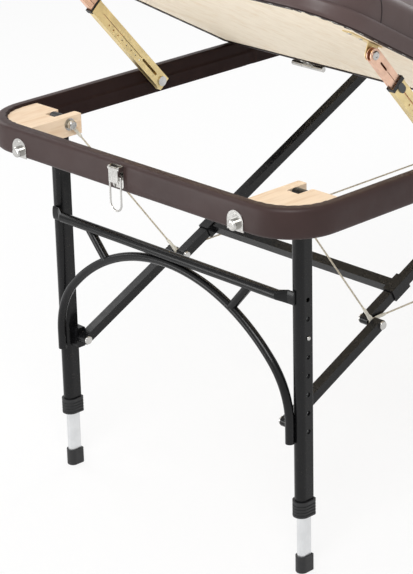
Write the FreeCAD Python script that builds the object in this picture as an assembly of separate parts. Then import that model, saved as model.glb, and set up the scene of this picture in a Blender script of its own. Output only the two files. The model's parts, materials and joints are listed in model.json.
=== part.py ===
"""Folding massage table with a lifting back panel. Millimetres, +Z up, length along X.

The lifting half is at -X and the fixed half is its mirror image at +X. The floor is z = 0.
"""
import FreeCAD, Part
import math
import os

V = FreeCAD.Vector
X, Y, Z = V(1, 0, 0), V(0, 1, 0), V(0, 0, 1)

# Overall
WIDTH = 700.0
HALF_LENGTH = 930.0
MID_GAP = 0.5            # from the hinge plane to each half
SEAT = 0.3               # between faces that pass each other
RUN = 0.05               # radial clearance of a pin that turns in its hole

# Padded rim
RIM_TOP = 618.0
RIM_HEIGHT = 48.0
RIM_WALL = 18.0
RIM_CORNER = 85.0
RIM_EDGE = 7.0
RIM_BOTTOM = RIM_TOP - RIM_HEIGHT

# Boards and pads
BOARD = 12.0
PAD = 58.0
PAD_EDGE = 18.0
BACK_PANEL = 551.0       # from the table's end to the panel's hinge
BACK_ANGLE = 29.0
BOARD_GAP = 2.0
EDGE_WRAP = 1.0          # board edge inside the pad cover

# Legs
LEG_INSET = 101.0
LEG_SIDE = 84.5          # from the table's side to the leg's centre
LEG_DEPTH = 27.0
LEG_WIDTH = 21.0
LEG_WALL = 1.5
LEG_PIVOT_Z = 600.0
LEG_TOP_ROUND = 12.5
COLLAR_BOTTOM = 96.0
COLLAR_HEIGHT = 26.0
COLLAR_WALL = 3.2
COLLAR_RIBS = 4
INNER_GAP = 1.7          # between the outer and the inner leg
INNER_WALL = 1.4
INNER_TOP = 430.0
FOOT_HEIGHT = 28.0
FOOT_WALL = 2.6
FOOT_SOLE = 8.0
HOLE_TOP = 445.0
HOLE_PITCH = 30.0
HOLE_COUNT = 8
HOLE_R = 3.6
HOLE_X = 3.0             # from the leg's centre towards its flat back
BUTTON_HOLE = 2          # the hole that the button stands in, from the top
BUTTON_R = 3.3
BUTTON_PROUD = 3.0
BUTTON_FLANGE_R = 5.0
BUTTON_FLANGE = 1.4

# Crossbar, arch and its two props
BAR_R = 8.0
BAR_Z = 450.0
ARCH_R = 7.0
ARCH_IN = 7.5            # from the leg's centre
ARCH_FOOT_Z = 218.0
ARCH_SPRING_Z = 250.0
ARCH_SIDE_R = 130.0
PROP_R = 7.0
PROP_TOP_Y = 181.0
PROP_FOOT_Y = 139.0
TAB = 5.0                # flattened end of the crossbar
TAB_HALF = 11.0
TAB_TAPER = 16.0
TAB_PAST = 2.0           # past the leg's centre

# Folding braces, in side view
TUBE = 16.0
TUBE_WALL = 1.6
FOOT_PAD = 17.0          # from the leg to the lower brace
FOOT_PAD_HALF = 9.0
LANE_GAP = 8.0           # between the lower and the upper brace
BRACE_FOOT_X = 4.5       # from the leg's centre
BRACE_FOOT_Z = 235.0
BRACE_TOP_INSET = 63.0   # from the hinge plane
TIE_FROM_KNEE = 76.0
SLEEVE = 36.0
SLEEVE_WALL = 2.5
BOLT_R = 4.0
HEAD_R = 7.0
HEAD = 4.0
WASHER_R = 10.0
EAR = 3.0

# Corner blocks
BLOCK_TOP = 612.0
BLOCK_HEIGHT = 32.0
BLOCK_ARM = 26.0         # inner finger, past the leg's centre
BLOCK_SHORT = 13.0       # outer finger
BLOCK_NOTCH = 16.0       # behind the leg's centre
BLOCK_INNER = 28.5       # from the leg's centre to the inner finger's face
BOLT_PAST = 24.0         # pivot bolt past the notch
NOTCH_SIDE = 1.0         # beside the leg

# Cables
CABLE_R = 1.3
EYE_R = 7.0
EYE = 4.4
FERRULE_R = 2.8
FERRULE = 24.0

# Ratchet struts of the back panel
STRUT_PIVOT_X = 270.0    # from the leg's centre
STRUT_PIVOT_Z = 594.0
STRUT_ARM = 406.0        # along the board from the hinge to the strut
STRUT_DROP = 16.5        # below the board
STRUT_WIDTH = 24.0
STRUT_PLATE = 34.0       # half of the upper bracket's foot
STRUT_FLANGE = 16.0
STRUT_DEPTH = 12.0
STRUT_WALL = 1.5
STRUT_REACH = 206.0
STRUT_INNER = 150.0
STRUT_END = 12.0
STRUT_RAIL_GAP = 4.0
STRUT_HOLE_R = 1.6
STRUT_HOLES = 8
STRUT_SLOT = 5.0
CLIP = 2.0

# Hinges between the halves and under the back panel
KNUCKLE_R = 4.5
PIN_R = 2.0
LEAF = 1.6
LEAF_WIDTH = 17.0
HINGE_LENGTH = 70.0
MID_HINGE_Y = 120.0
BACK_HINGE_Y = 150.0
BACK_PIN_DROP = 5.0

# Catch, keeper and stud plates on the ends
CATCH_WIDTH = 24.0
CATCH_BASE = 36.0
CATCH_Y = 8.0
CATCH_LIFT = 6.0
LEVER_SHARE = 0.87       # lever's and bail's pins, as shares of the base's height
BAIL_SHARE = 0.50
LEVER_LIFT = 10.0
CATCH_OUT = 7.0          # from the end face to the lever's pin
CATCH_EYE = 4.0
PLATE = 1.6
WIRE_R = 1.5
BAIL_LENGTH = 53.0
STUD_SIDE = 113.0        # from the table's side
STUD_R = 8.5
STUD_OUT = 10.0
STUD_PLATE_W = 32.0
STUD_PLATE_H = 30.0
STUD_LIFT = 1.0

LEG_X = LEG_INSET - HALF_LENGTH
LEG_Y = WIDTH / 2 - LEG_SIDE
INNER_Y = WIDTH / 2 - RIM_WALL
END_X = -HALF_LENGTH
BACK_HINGE_X = BACK_PANEL - HALF_LENGTH
FOLD_Z = RIM_BOTTOM - SEAT
BOARD_TOP = RIM_TOP + BOARD
BLOCK_INNER_Y = LEG_Y - BLOCK_INNER
LOWER_LANE = LEG_Y - LEG_WIDTH / 2 - FOOT_PAD - TUBE / 2
UPPER_LANE = LOWER_LANE - TUBE - LANE_GAP
KNEE_MEET = UPPER_LANE + TUBE / 2 + SLEEVE_WALL
PIVOT_END = LEG_Y + LEG_WIDTH / 2 + NOTCH_SIDE + BOLT_PAST
PIVOT_EYE = BLOCK_INNER_Y - PLATE - SEAT - EYE / 2
PIVOT_HEAD = PIVOT_EYE - EYE / 2 - SEAT
STUD_Y = WIDTH / 2 - STUD_SIDE
INNER_GROW = -LEG_WALL - INNER_GAP
BUTTON_Z = HOLE_TOP - BUTTON_HOLE * HOLE_PITCH


def flip_y(shape):
    return shape.mirror(V(0, 0, 0), Y)


def flip_x(shape):
    return shape.mirror(V(0, 0, 0), X)


def pair(shape):
    return [shape, flip_y(shape)]


def box(x0, x1, y0, y1, z0, z1):
    return Part.makeBox(x1 - x0, y1 - y0, z1 - z0, V(x0, y0, z0))


def rod(start, end, radius):
    return Part.makeCylinder(radius, (end - start).Length, start, end - start)


def pin_y(x, z, y0, y1, radius):
    return rod(V(x, y0, z), V(x, y1, z), radius)


def face(points):
    edges = [Part.LineSegment(a, b).toShape() for a, b in zip(points, points[1:] + points[:1])]
    return Part.Face(Part.Wire(edges))


def save(node, shapes):
    shapes = shapes if isinstance(shapes, list) else [shapes]
    solid = shapes[0] if len(shapes) == 1 else Part.makeCompound(shapes)
    solid.exportStep(f"parts/{node}.step")


def plan(x0, x1, half_width, corner, z0, height):
    """Slab with its two -X corners rounded."""
    slab = box(x0, x1, -half_width, half_width, z0, z0 + height)
    ends = [e for e in slab.Edges if abs(e.Length - height) < 1e-6 and e.CenterOfMass.x < x0 + 1]
    return slab.makeFillet(corner, ends) if corner > 0 else slab


def soften(solid, z, radius, keep):
    """Rounds the edges that lie at height z and pass keep(edge)."""
    edges = [e for e in solid.Edges
             if abs(e.BoundBox.ZMin - z) < 1e-6 and abs(e.BoundBox.ZMax - z) < 1e-6 and keep(e)]
    return solid.makeFillet(radius, edges)


# Leg section: flat sides and back, round front towards the table's end
def leg_prism(grow, z0, z1, x=LEG_X, y=LEG_Y):
    half = LEG_WIDTH / 2 + grow
    back = x + LEG_DEPTH / 2 + grow
    centre = x - LEG_DEPTH / 2 + LEG_WIDTH / 2
    arc = Part.Arc(V(centre, y - half, z0), V(centre - half, y, z0), V(centre, y + half, z0))
    points = [V(centre, y + half, z0), V(back, y + half, z0), V(back, y - half, z0), V(centre, y - half, z0)]
    edges = [Part.LineSegment(a, b).toShape() for a, b in zip(points, points[1:])]
    prism = Part.Face(Part.Wire(edges + [arc.toShape()])).extrude(V(0, 0, z1 - z0))
    rears = [e for e in prism.Edges if abs(e.Length - (z1 - z0)) < 1e-6 and e.CenterOfMass.x > back - 1e-3]
    return prism.makeFillet(max(2.0 + grow, 0.8), rears)


# Brace lines in side view: straight when open, flat against the board when folded
FOOT = V(LEG_X + BRACE_FOOT_X, 0, BRACE_FOOT_Z)
FOLDED_FOOT = V(LEG_X + LEG_PIVOT_Z - BRACE_FOOT_Z, 0, LEG_PIVOT_Z + BRACE_FOOT_X)
TOP = V(-BRACE_TOP_INSET, 0, LEG_PIVOT_Z + BRACE_FOOT_X)
SPAN = (TOP - FOOT).Length
LOWER = (SPAN - (TOP.x - FOLDED_FOOT.x)) / 2
ALONG = (TOP - FOOT).normalize()
KNEE = FOOT + ALONG * LOWER
BRACE_TILT = math.degrees(math.asin(ALONG.z))


def brace(start, end, lane):
    """Square tube with round capped ends, drawn along X and turned to its slope."""
    length = (end - start).Length
    half = TUBE / 2
    body = box(0, length, -half, half, -half, half).fuse([
        pin_y(0, 0, -half, half, half), pin_y(length, 0, -half, half, half)]).removeSplitter()
    core = half - TUBE_WALL
    body = body.cut(box(half, length - half, -core, core, -core, core))
    for x in (0, length):
        body = body.cut(pin_y(x, 0, -half - 1, half + 1, BOLT_R + RUN))
    slope = math.degrees(math.atan2((end - start).z, (end - start).x))
    body.rotate(V(0, 0, 0), Y, -slope)
    body.translate(V(start.x, lane, start.z))
    return body


def bolt(x, z, y0, y1, nut=False):
    """Bolt along Y: domed head at y0, shank to y1, and a nut there if asked for."""
    away = 1 if y1 > y0 else -1
    head = Part.makeCylinder(HEAD_R, HEAD, V(x, y0 - away * HEAD, z), Y * away)
    rim = [e for e in head.Edges if abs(e.CenterOfMass.y - (y0 - away * HEAD)) < 1e-6]
    pieces = [pin_y(x, z, y0, y1, BOLT_R)]
    if nut:
        turns = [math.radians(60 * i) for i in range(6)]
        ring = [V(x + HEAD_R * math.cos(a), y1, z + HEAD_R * math.sin(a)) for a in turns]
        pieces.append(face(ring).extrude(Y * away * HEAD))
    return head.makeFillet(HEAD * 0.45, rim).fuse(pieces).removeSplitter()


def knuckle_leaf(x_pin, z_pin, spans, side, top, up):
    """Hinge leaf: a plate beside the pin, and a knuckle round the pin on each span of Y."""
    low, high = min(s[0] for s in spans), max(s[1] for s in spans)
    pieces = []
    for y0, y1 in spans:
        ring = pin_y(x_pin, z_pin, y0, y1, KNUCKLE_R)
        ends = sorted((x_pin + side * KNUCKLE_R * 0.55, x_pin + side * (KNUCKLE_R + 2)))
        web = box(*ends, y0, y1, min(top, top + up), max(top, top + up))
        pieces += [ring, web]
    near, far = x_pin + side * (KNUCKLE_R + SEAT), x_pin + side * LEAF_WIDTH
    plate = box(min(near, far), max(near, far), low, high, min(top, top + up), max(top, top + up))
    leaf = plate.fuse(pieces).removeSplitter()
    return leaf.cut(pin_y(x_pin, z_pin, low - 1, high + 1, PIN_R + RUN))


def hinge_spans(centre, inner):
    """The two end spans of a three-knuckle hinge, or the middle one."""
    third = HINGE_LENGTH / 3
    low = centre - HINGE_LENGTH / 2
    if inner:
        return [(low + third + SEAT / 2, low + 2 * third - SEAT / 2)]
    return [(low, low + third - SEAT / 2), (low + 2 * third + SEAT / 2, low + HINGE_LENGTH)]


# Rim of one half, with a wall beside the hinge plane
def make_rim():
    rim = plan(END_X, -MID_GAP, WIDTH / 2, RIM_CORNER, RIM_BOTTOM, RIM_HEIGHT)
    for z in (RIM_BOTTOM, RIM_TOP):
        rim = soften(rim, z, RIM_EDGE, lambda e: e.CenterOfMass.x < -MID_GAP - 1)
    inside = (END_X + RIM_WALL, -MID_GAP - RIM_WALL, INNER_Y, RIM_CORNER - RIM_WALL)
    rim = rim.cut(plan(*inside, RIM_BOTTOM, RIM_HEIGHT))
    for y in (-MID_HINGE_Y, MID_HINGE_Y):
        y0, y1 = y - HINGE_LENGTH / 2 - SEAT, y + HINGE_LENGTH / 2 + SEAT
        rim = rim.cut(pin_y(0, FOLD_Z, y0, y1, KNUCKLE_R + SEAT))
        rim = rim.cut(box(-LEAF_WIDTH, 0, y0, y1, RIM_BOTTOM - 1, RIM_BOTTOM + LEAF))
    return rim


def make_block():
    """Corner block: outline follows the rim's inner corner, notch open to the leg's swing."""
    low = BLOCK_TOP - BLOCK_HEIGHT
    x0, x1 = END_X + RIM_WALL, LEG_X + BLOCK_ARM
    block = box(x0, x1, BLOCK_INNER_Y, INNER_Y, low, BLOCK_TOP)
    corner = [e for e in block.Edges if abs(e.Length - BLOCK_HEIGHT) < 1e-6
              and e.CenterOfMass.x < x0 + 1 and e.CenterOfMass.y > INNER_Y - 1]
    block = block.makeFillet(RIM_CORNER - RIM_WALL, corner)
    side = LEG_WIDTH / 2 + NOTCH_SIDE
    block = block.cut(box(LEG_X - BLOCK_NOTCH, x1 + 1, LEG_Y - side, LEG_Y + side, low - 1, BLOCK_TOP + 1))
    block = block.cut(box(LEG_X + BLOCK_SHORT, x1 + 1, LEG_Y, INNER_Y + 1, low - 1, BLOCK_TOP + 1))
    ends = [e for e in block.Edges if abs(e.Length - BLOCK_HEIGHT) < 1e-6
            and e.CenterOfMass.x > LEG_X + BLOCK_SHORT - 1]
    block = block.makeFillet(2.5, ends)
    return block.cut(pin_y(LEG_X, LEG_PIVOT_Z, BLOCK_INNER_Y - 1, PIVOT_END, BOLT_R + RUN))


def make_leg():
    leg = leg_prism(0, COLLAR_BOTTOM + 2, LEG_PIVOT_Z + LEG_TOP_ROUND)
    bore = leg_prism(-LEG_WALL, COLLAR_BOTTOM, LEG_PIVOT_Z - LEG_TOP_ROUND)
    leg = leg.cut(bore)
    crown = box(LEG_X - LEG_DEPTH, LEG_X + LEG_DEPTH, LEG_Y - LEG_WIDTH, LEG_Y + LEG_WIDTH,
                LEG_PIVOT_Z, LEG_PIVOT_Z + LEG_DEPTH)
    dome = pin_y(LEG_X, LEG_PIVOT_Z, LEG_Y - LEG_WIDTH, LEG_Y + LEG_WIDTH, LEG_TOP_ROUND)
    leg = leg.cut(crown.cut(dome))
    leg = leg.cut(pin_y(LEG_X, LEG_PIVOT_Z, LEG_Y - LEG_WIDTH, LEG_Y + LEG_WIDTH, BOLT_R + RUN))
    for i in range(HOLE_COUNT):
        leg = leg.cut(pin_y(LEG_X + HOLE_X, HOLE_TOP - i * HOLE_PITCH, LEG_Y, LEG_Y + LEG_WIDTH, HOLE_R))
    return leg


def make_foot_bracket():
    """Pad on the leg's inner face that the lower brace turns against."""
    face_y = LEG_Y - LEG_WIDTH / 2
    lane_y = LOWER_LANE + TUBE / 2 + SEAT
    pad = box(FOOT.x - FOOT_PAD_HALF, FOOT.x + FOOT_PAD_HALF, lane_y, face_y,
              FOOT.z - FOOT_PAD, FOOT.z + FOOT_PAD)
    pad = pad.makeFillet(3, [e for e in pad.Edges if abs(e.Length - (face_y - lane_y)) < 1e-6])
    return pad.cut(pin_y(FOOT.x, FOOT.z, lane_y - 1, face_y + 1, BOLT_R + RUN))


def make_collar():
    collar = leg_prism(COLLAR_WALL, COLLAR_BOTTOM, COLLAR_BOTTOM + COLLAR_HEIGHT)
    collar = collar.cut(leg_prism(0, COLLAR_BOTTOM + 2, COLLAR_BOTTOM + COLLAR_HEIGHT + 1))
    collar = collar.cut(leg_prism(-LEG_WALL - INNER_GAP + SEAT, COLLAR_BOTTOM - 1, COLLAR_BOTTOM + 3))
    step = (COLLAR_HEIGHT - 6) / COLLAR_RIBS
    for i in range(COLLAR_RIBS):
        z = COLLAR_BOTTOM + 3.5 + i * step
        ring = leg_prism(COLLAR_WALL + 1, z, z + step / 2).cut(leg_prism(COLLAR_WALL - 0.9, z - 1, z + step))
        collar = collar.cut(ring)
    return collar


def make_inner_leg():
    tube = leg_prism(INNER_GROW, FOOT_SOLE, INNER_TOP)
    tube = tube.cut(leg_prism(INNER_GROW - INNER_WALL, FOOT_SOLE - 1, INNER_TOP + 1))
    return tube.cut(pin_y(LEG_X + HOLE_X, BUTTON_Z, LEG_Y, LEG_Y + LEG_WIDTH, BUTTON_R + RUN))


def make_foot():
    foot = leg_prism(INNER_GROW + FOOT_WALL, 0, FOOT_HEIGHT)
    base = [e for e in foot.Edges if e.BoundBox.ZMax < 1e-6]
    foot = foot.makeFillet(2, base)
    return foot.cut(leg_prism(INNER_GROW, FOOT_SOLE, FOOT_HEIGHT + 1))


def make_button():
    wall = LEG_Y + LEG_WIDTH / 2 + INNER_GROW - INNER_WALL
    tip = LEG_Y + LEG_WIDTH / 2 + BUTTON_PROUD
    x = LEG_X + HOLE_X
    pin = pin_y(x, BUTTON_Z, wall - SEAT - BUTTON_FLANGE, tip, BUTTON_R)
    pin = pin.makeFillet(BUTTON_R * 0.7, [e for e in pin.Edges if e.CenterOfMass.y > tip - 1e-3])
    flange = pin_y(x, BUTTON_Z, wall - SEAT - BUTTON_FLANGE, wall - SEAT, BUTTON_FLANGE_R)
    return pin.fuse(flange).removeSplitter()


# Crossbar with flattened ends, arch under it and two slanted props, on the legs' front
BAR_X = LEG_X - LEG_DEPTH / 2 - BAR_R
LEG_FRONT = LEG_X - LEG_DEPTH / 2 + LEG_WIDTH / 2
ARCH_X = LEG_FRONT - math.sqrt((LEG_WIDTH / 2 + ARCH_R) ** 2 - ARCH_IN ** 2)
ARCH_TOP = BAR_Z - math.sqrt((BAR_R + ARCH_R) ** 2 - (ARCH_X - BAR_X) ** 2)
ARCH_RISE = ARCH_TOP - ARCH_SPRING_Z
ARCH_SPAN = LEG_Y - ARCH_IN
CROWN_R = (ARCH_SPAN * (ARCH_SPAN - 2 * ARCH_SIDE_R) + ARCH_RISE ** 2) / (2 * (ARCH_RISE - ARCH_SIDE_R))
SIDE_CENTRE = V(ARCH_X, ARCH_SPAN - ARCH_SIDE_R, ARCH_SPRING_Z)
CROWN_CENTRE = V(ARCH_X, 0, ARCH_TOP - CROWN_R)


def oval(x, y, half_x, half_z):
    """Upright oval wire across Y."""
    round_ = half_x == half_z
    curve = Part.Circle(V(0, 0, 0), Z, half_z) if round_ else Part.Ellipse(V(0, 0, 0), half_z, half_x)
    wire = Part.Wire(curve.toShape())
    wire.rotate(V(0, 0, 0), X, 90)
    wire.rotate(V(0, 0, 0), Y, 90)
    wire.translate(V(x, y, BAR_Z))
    return wire


def make_crossbar():
    """Round bar whose ends are pressed flat against the legs' fronts."""
    flat = LEG_Y - LEG_WIDTH / 2
    reach = flat - TAB_TAPER
    tab_x = BAR_X + BAR_R - TAB / 2
    bar = pin_y(BAR_X, BAR_Z, -reach, reach, BAR_R)
    taper = Part.makeLoft([oval(BAR_X, reach, BAR_R, BAR_R), oval(tab_x, flat, TAB / 2, TAB_HALF)], True)
    tab = Part.Face(oval(tab_x, flat, TAB / 2, TAB_HALF)).extrude(Y * (LEG_Y + TAB_PAST - flat))
    return bar.fuse(pair(taper) + pair(tab)).removeSplitter()


def bend(centre, radius, start_deg, turn_deg):
    """Round tube bent about an X axis; degrees run from +Y towards +Z."""
    a = math.radians(start_deg)
    at = centre + V(0, math.cos(a), math.sin(a)) * radius
    ring = Part.Face(Part.Wire(Part.Circle(at, V(0, -math.sin(a), math.cos(a)), ARCH_R).toShape()))
    return ring.revolve(centre, X, turn_deg)


def make_arch():
    slope = math.degrees(math.atan2(SIDE_CENTRE.z - CROWN_CENTRE.z, SIDE_CENTRE.y))
    side = bend(SIDE_CENTRE, ARCH_SIDE_R, 0, slope)
    leg = rod(V(ARCH_X, ARCH_SPAN, ARCH_FOOT_Z), V(ARCH_X, ARCH_SPAN, ARCH_SPRING_Z), ARCH_R)
    crown = bend(CROWN_CENTRE, CROWN_R, slope, 180 - 2 * slope)
    arch = crown.fuse(pair(side) + pair(leg)).removeSplitter()
    prop_foot = V(ARCH_X, PROP_FOOT_Y, arch_height(PROP_FOOT_Y))
    prop = rod(V(ARCH_X, PROP_TOP_Y, BAR_Z), prop_foot, PROP_R).cut(arch).cut(make_crossbar())
    return [arch] + pair(prop)


def arch_height(y):
    return CROWN_CENTRE.z + math.sqrt(CROWN_R ** 2 - y ** 2)


# Braces, tie bar and bolts
def make_tie():
    """Tie bar between the upper braces, with a sleeve round each."""
    at = KNEE + ALONG * TIE_FROM_KNEE
    half = TUBE / 2 + SLEEVE_WALL
    hole = TUBE / 2
    reach = UPPER_LANE - half
    bar = box(-TUBE / 2, TUBE / 2, -reach, reach, -TUBE / 2, TUBE / 2)
    core = TUBE / 2 - TUBE_WALL
    bar = bar.cut(box(-core, core, -reach - 1, reach + 1, -core, core))
    sleeve = box(-SLEEVE / 2, SLEEVE / 2, UPPER_LANE - half, UPPER_LANE + half, -half, half)
    sleeve = sleeve.cut(box(-SLEEVE, SLEEVE, UPPER_LANE - hole, UPPER_LANE + hole, -hole, hole))
    pieces = [bar] + pair(sleeve)
    for piece in pieces:
        piece.rotate(V(0, 0, 0), Y, -BRACE_TILT)
        piece.translate(at)
    return pieces


def make_brace_bolts():
    """Bolts carried by the lower braces: at the knee up to the upper brace, at the foot up to the leg."""
    inner, outer = LOWER_LANE - TUBE / 2, LOWER_LANE + TUBE / 2
    knee = bolt(KNEE.x, KNEE.z, outer, KNEE_MEET + SEAT)
    foot = bolt(FOOT.x, FOOT.z, inner, LEG_Y - LEG_WIDTH / 2 - SEAT)
    return pair(knee) + pair(foot)


def make_knee_bolts():
    """Bolt heads on the inner faces of the upper braces, with their shanks."""
    return pair(bolt(KNEE.x, KNEE.z, UPPER_LANE - TUBE / 2, KNEE_MEET))


def make_top_bracket():
    """U bracket on the wall beside the hinge plane, round the upper brace's end."""
    wall_x = -MID_GAP - RIM_WALL
    half = TUBE / 2 + SEAT
    low, high = TOP.z - TUBE / 2 - 2, TOP.z + TUBE / 2 + 2
    back = box(wall_x - EAR, wall_x, UPPER_LANE - half - EAR, UPPER_LANE + half + EAR, low, high)
    ears = []
    for y in (UPPER_LANE - half - EAR, UPPER_LANE + half):
        ear = box(TOP.x, wall_x, y, y + EAR, TOP.z - TUBE / 2, TOP.z + TUBE / 2)
        ears += [ear, pin_y(TOP.x, TOP.z, y, y + EAR, TUBE / 2)]
    bracket = back.fuse(ears).removeSplitter()
    return bracket.cut(pin_y(TOP.x, TOP.z, 0, WIDTH, BOLT_R))


def make_frame_bolts():
    """Leg pivot bolts with washers, and the upper braces' bolts."""
    washer = pin_y(LEG_X, LEG_PIVOT_Z, BLOCK_INNER_Y - PLATE, BLOCK_INNER_Y, WASHER_R)
    pivot = bolt(LEG_X, LEG_PIVOT_Z, PIVOT_HEAD, PIVOT_END)
    half = TUBE / 2 + SEAT + EAR
    top = bolt(TOP.x, TOP.z, UPPER_LANE - half, UPPER_LANE + half, nut=True)
    return pair(pivot.fuse(washer).removeSplitter()) + pair(top)


# Cables: leg pivot to knee, and knee to the hinge plane, in the lane between the braces
CABLE_Y = (LOWER_LANE + UPPER_LANE) / 2


def make_cables():
    pivot = V(LEG_X, PIVOT_EYE, LEG_PIVOT_Z)
    knee = V(KNEE.x, CABLE_Y, KNEE.z)
    along = (pivot - knee).normalize()
    eyes = [pin_y(at.x, at.z, at.y - EYE / 2, at.y + EYE / 2, EYE_R) for at in (pivot, knee)]
    stay = [rod(knee, pivot, CABLE_R), rod(knee, knee + along * (EYE_R + FERRULE), FERRULE_R),
            rod(pivot - along * (EYE_R + FERRULE), pivot - along * (WASHER_R + SEAT), FERRULE_R),
            rod(pivot - along * (EYE_R + FERRULE), pivot, EYE / 2 - SEAT)]
    run_z = knee.z + EYE_R - FERRULE_R
    run = [rod(V(knee.x, CABLE_Y, run_z), V(-MID_GAP, CABLE_Y, run_z), CABLE_R),
           rod(V(knee.x, CABLE_Y, run_z), V(knee.x + EYE_R + FERRULE, CABLE_Y, run_z), FERRULE_R)]
    cable = eyes[0].fuse(eyes[1:] + stay + run).removeSplitter()
    for at in (pivot, knee):
        cable = cable.cut(pin_y(at.x, at.z, 0, WIDTH, BOLT_R + RUN))
    return cable


# Boards and pads; the back panel is drawn lying flat and turned up about its hinge
PIN_Z = RIM_TOP - BACK_PIN_DROP
BACK_PIN = V(BACK_HINGE_X, 0, PIN_Z)


def lift(shape):
    shape.rotate(BACK_PIN, Y, BACK_ANGLE)
    return shape


def pad_block(x0, x1, corner):
    pad = plan(x0, x1, WIDTH / 2, corner, BOARD_TOP, PAD)
    return soften(pad, BOARD_TOP + PAD, PAD_EDGE, lambda e: True)


def make_back():
    board = plan(END_X, BACK_HINGE_X - BOARD_GAP / 2, WIDTH / 2 - EDGE_WRAP, RIM_CORNER, RIM_TOP, BOARD)
    pad = plan(END_X, BACK_HINGE_X - BOARD_GAP / 2, WIDTH / 2, RIM_CORNER, BOARD_TOP, PAD)
    wedge_top = BOARD_TOP + PAD + 1
    lean = math.tan(math.radians(BACK_ANGLE)) * (wedge_top - PIN_Z) + BOARD_GAP
    wedge = face([V(BACK_HINGE_X, -WIDTH, PIN_Z), V(BACK_HINGE_X, -WIDTH, wedge_top),
                  V(BACK_HINGE_X - lean, -WIDTH, wedge_top)]).extrude(Y * 2 * WIDTH)
    pad, board = pad.cut(wedge), board.cut(wedge)
    pad = soften(pad, BOARD_TOP + PAD, PAD_EDGE, lambda e: e.CenterOfMass.x < BACK_HINGE_X - lean - 1)
    return lift(board), lift(pad)


def make_back_hinge():
    """Fixed leaves with their pins under the fixed board, and turning leaves under the panel."""
    fixed, turning = [], []
    for y in (-BACK_HINGE_Y, BACK_HINGE_Y):
        fixed.append(knuckle_leaf(BACK_PIN.x, PIN_Z, hinge_spans(y, False), 1, RIM_TOP, -LEAF))
        fixed.append(pin_y(BACK_PIN.x, PIN_Z, y - HINGE_LENGTH / 2, y + HINGE_LENGTH / 2, PIN_R))
        turning.append(lift(knuckle_leaf(BACK_PIN.x, PIN_Z, hinge_spans(y, True), -1, RIM_TOP, -LEAF)))
    return fixed, turning


# Ratchet strut in side view: pivot on the rail, slide in the outer channel, eye under the board
STRUT_FOOT = V(LEG_X + STRUT_PIVOT_X, 0, STRUT_PIVOT_Z)
STRUT_EYE_FLAT = V(BACK_HINGE_X - STRUT_ARM, 0, RIM_TOP - STRUT_DROP)
ROTATE_UP = FreeCAD.Rotation(Y, BACK_ANGLE)
STRUT_EYE = BACK_PIN + ROTATE_UP.multVec(STRUT_EYE_FLAT - BACK_PIN)
STRUT_LINE = (STRUT_EYE - STRUT_FOOT).normalize()
STRUT_LENGTH = (STRUT_EYE - STRUT_FOOT).Length
STRUT_SLOPE = math.degrees(math.atan2(STRUT_LINE.z, STRUT_LINE.x))
STRUT_OUT_Y = INNER_Y - STRUT_RAIL_GAP


def channel(pivot, reach, width, web, depth):
    """U channel along local X, round about its pivot and open at its other end and towards the rail."""
    half, core = width / 2, width / 2 - STRUT_WALL
    past = reach + (1 if reach > pivot else -1)
    outside = box(min(pivot, reach), max(pivot, reach), web, web + depth, -half, half)
    outside = outside.fuse(pin_y(pivot, 0, web, web + depth, half))
    low, high = web + STRUT_WALL, web + depth + 1
    inside = box(min(pivot, past), max(pivot, past), low, high, -core, core)
    return outside.cut(inside.fuse(pin_y(pivot, 0, low, high, core))).removeSplitter()


def set_strut(shape):
    shape.rotate(V(0, 0, 0), Y, -STRUT_SLOPE)
    shape.translate(STRUT_FOOT)
    return shape


def make_strut():
    web = STRUT_OUT_Y - STRUT_DEPTH
    outer = channel(0, STRUT_REACH, STRUT_WIDTH, web, STRUT_DEPTH)
    slot_half = STRUT_SLOT / 2
    slot = box(STRUT_END + HEAD_R + 8, STRUT_REACH - 14, web - 1, web + STRUT_WALL + 1, 0, STRUT_SLOT)
    outer = outer.cut(slot)
    for i in range(STRUT_HOLES):
        at = STRUT_REACH * 0.32 + i * STRUT_REACH * 0.075
        outer = outer.cut(pin_y(at, -STRUT_WIDTH / 4, web - 1, web + STRUT_WALL + 1, STRUT_HOLE_R))
    outer = outer.cut(pin_y(0, 0, web - 1, web + STRUT_WALL + 1, BOLT_R + RUN))
    inner_web = web + STRUT_WALL + SEAT
    inner_width = STRUT_WIDTH - 2 * (STRUT_WALL + SEAT)
    inner_depth = STRUT_DEPTH - STRUT_WALL - SEAT
    inner = channel(STRUT_LENGTH, STRUT_LENGTH - STRUT_INNER, inner_width, inner_web, inner_depth)
    inner = inner.cut(box(STRUT_REACH + 6, STRUT_LENGTH - 16, web, inner_web + STRUT_WALL + 1,
                          -slot_half, slot_half))
    rivet = pin_y(STRUT_LENGTH, 0, inner_web - 2, inner_web, HEAD_R).fuse(
        pin_y(STRUT_LENGTH, 0, inner_web, STRUT_OUT_Y, BOLT_R)).removeSplitter()
    clip_r = STRUT_WIDTH / 2 + CLIP
    clip = box(STRUT_REACH - 4, STRUT_REACH + 5, web - CLIP, STRUT_OUT_Y, -clip_r, clip_r)
    clip = clip.cut(channel_hull(STRUT_WIDTH, web))
    thumb = box(STRUT_REACH - 22, STRUT_REACH - 4, web - CLIP, web, -5, 6)
    clip = clip.fuse(thumb).removeSplitter()
    rail_pin = pin_y(0, 0, web - 2.5, web, HEAD_R + 1.5).fuse(
        pin_y(0, 0, web, INNER_Y, BOLT_R)).removeSplitter()
    return [set_strut(s) for s in (outer, inner.fuse(rivet).removeSplitter(), clip, rail_pin)]


def channel_hull(width, web):
    half = width / 2
    inner = half - STRUT_WALL
    low = box(0, STRUT_REACH, web, STRUT_OUT_Y + 1, -half, half)
    return low.fuse(box(0, STRUT_LENGTH, web + STRUT_WALL, STRUT_OUT_Y + 1, -inner, inner))


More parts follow.
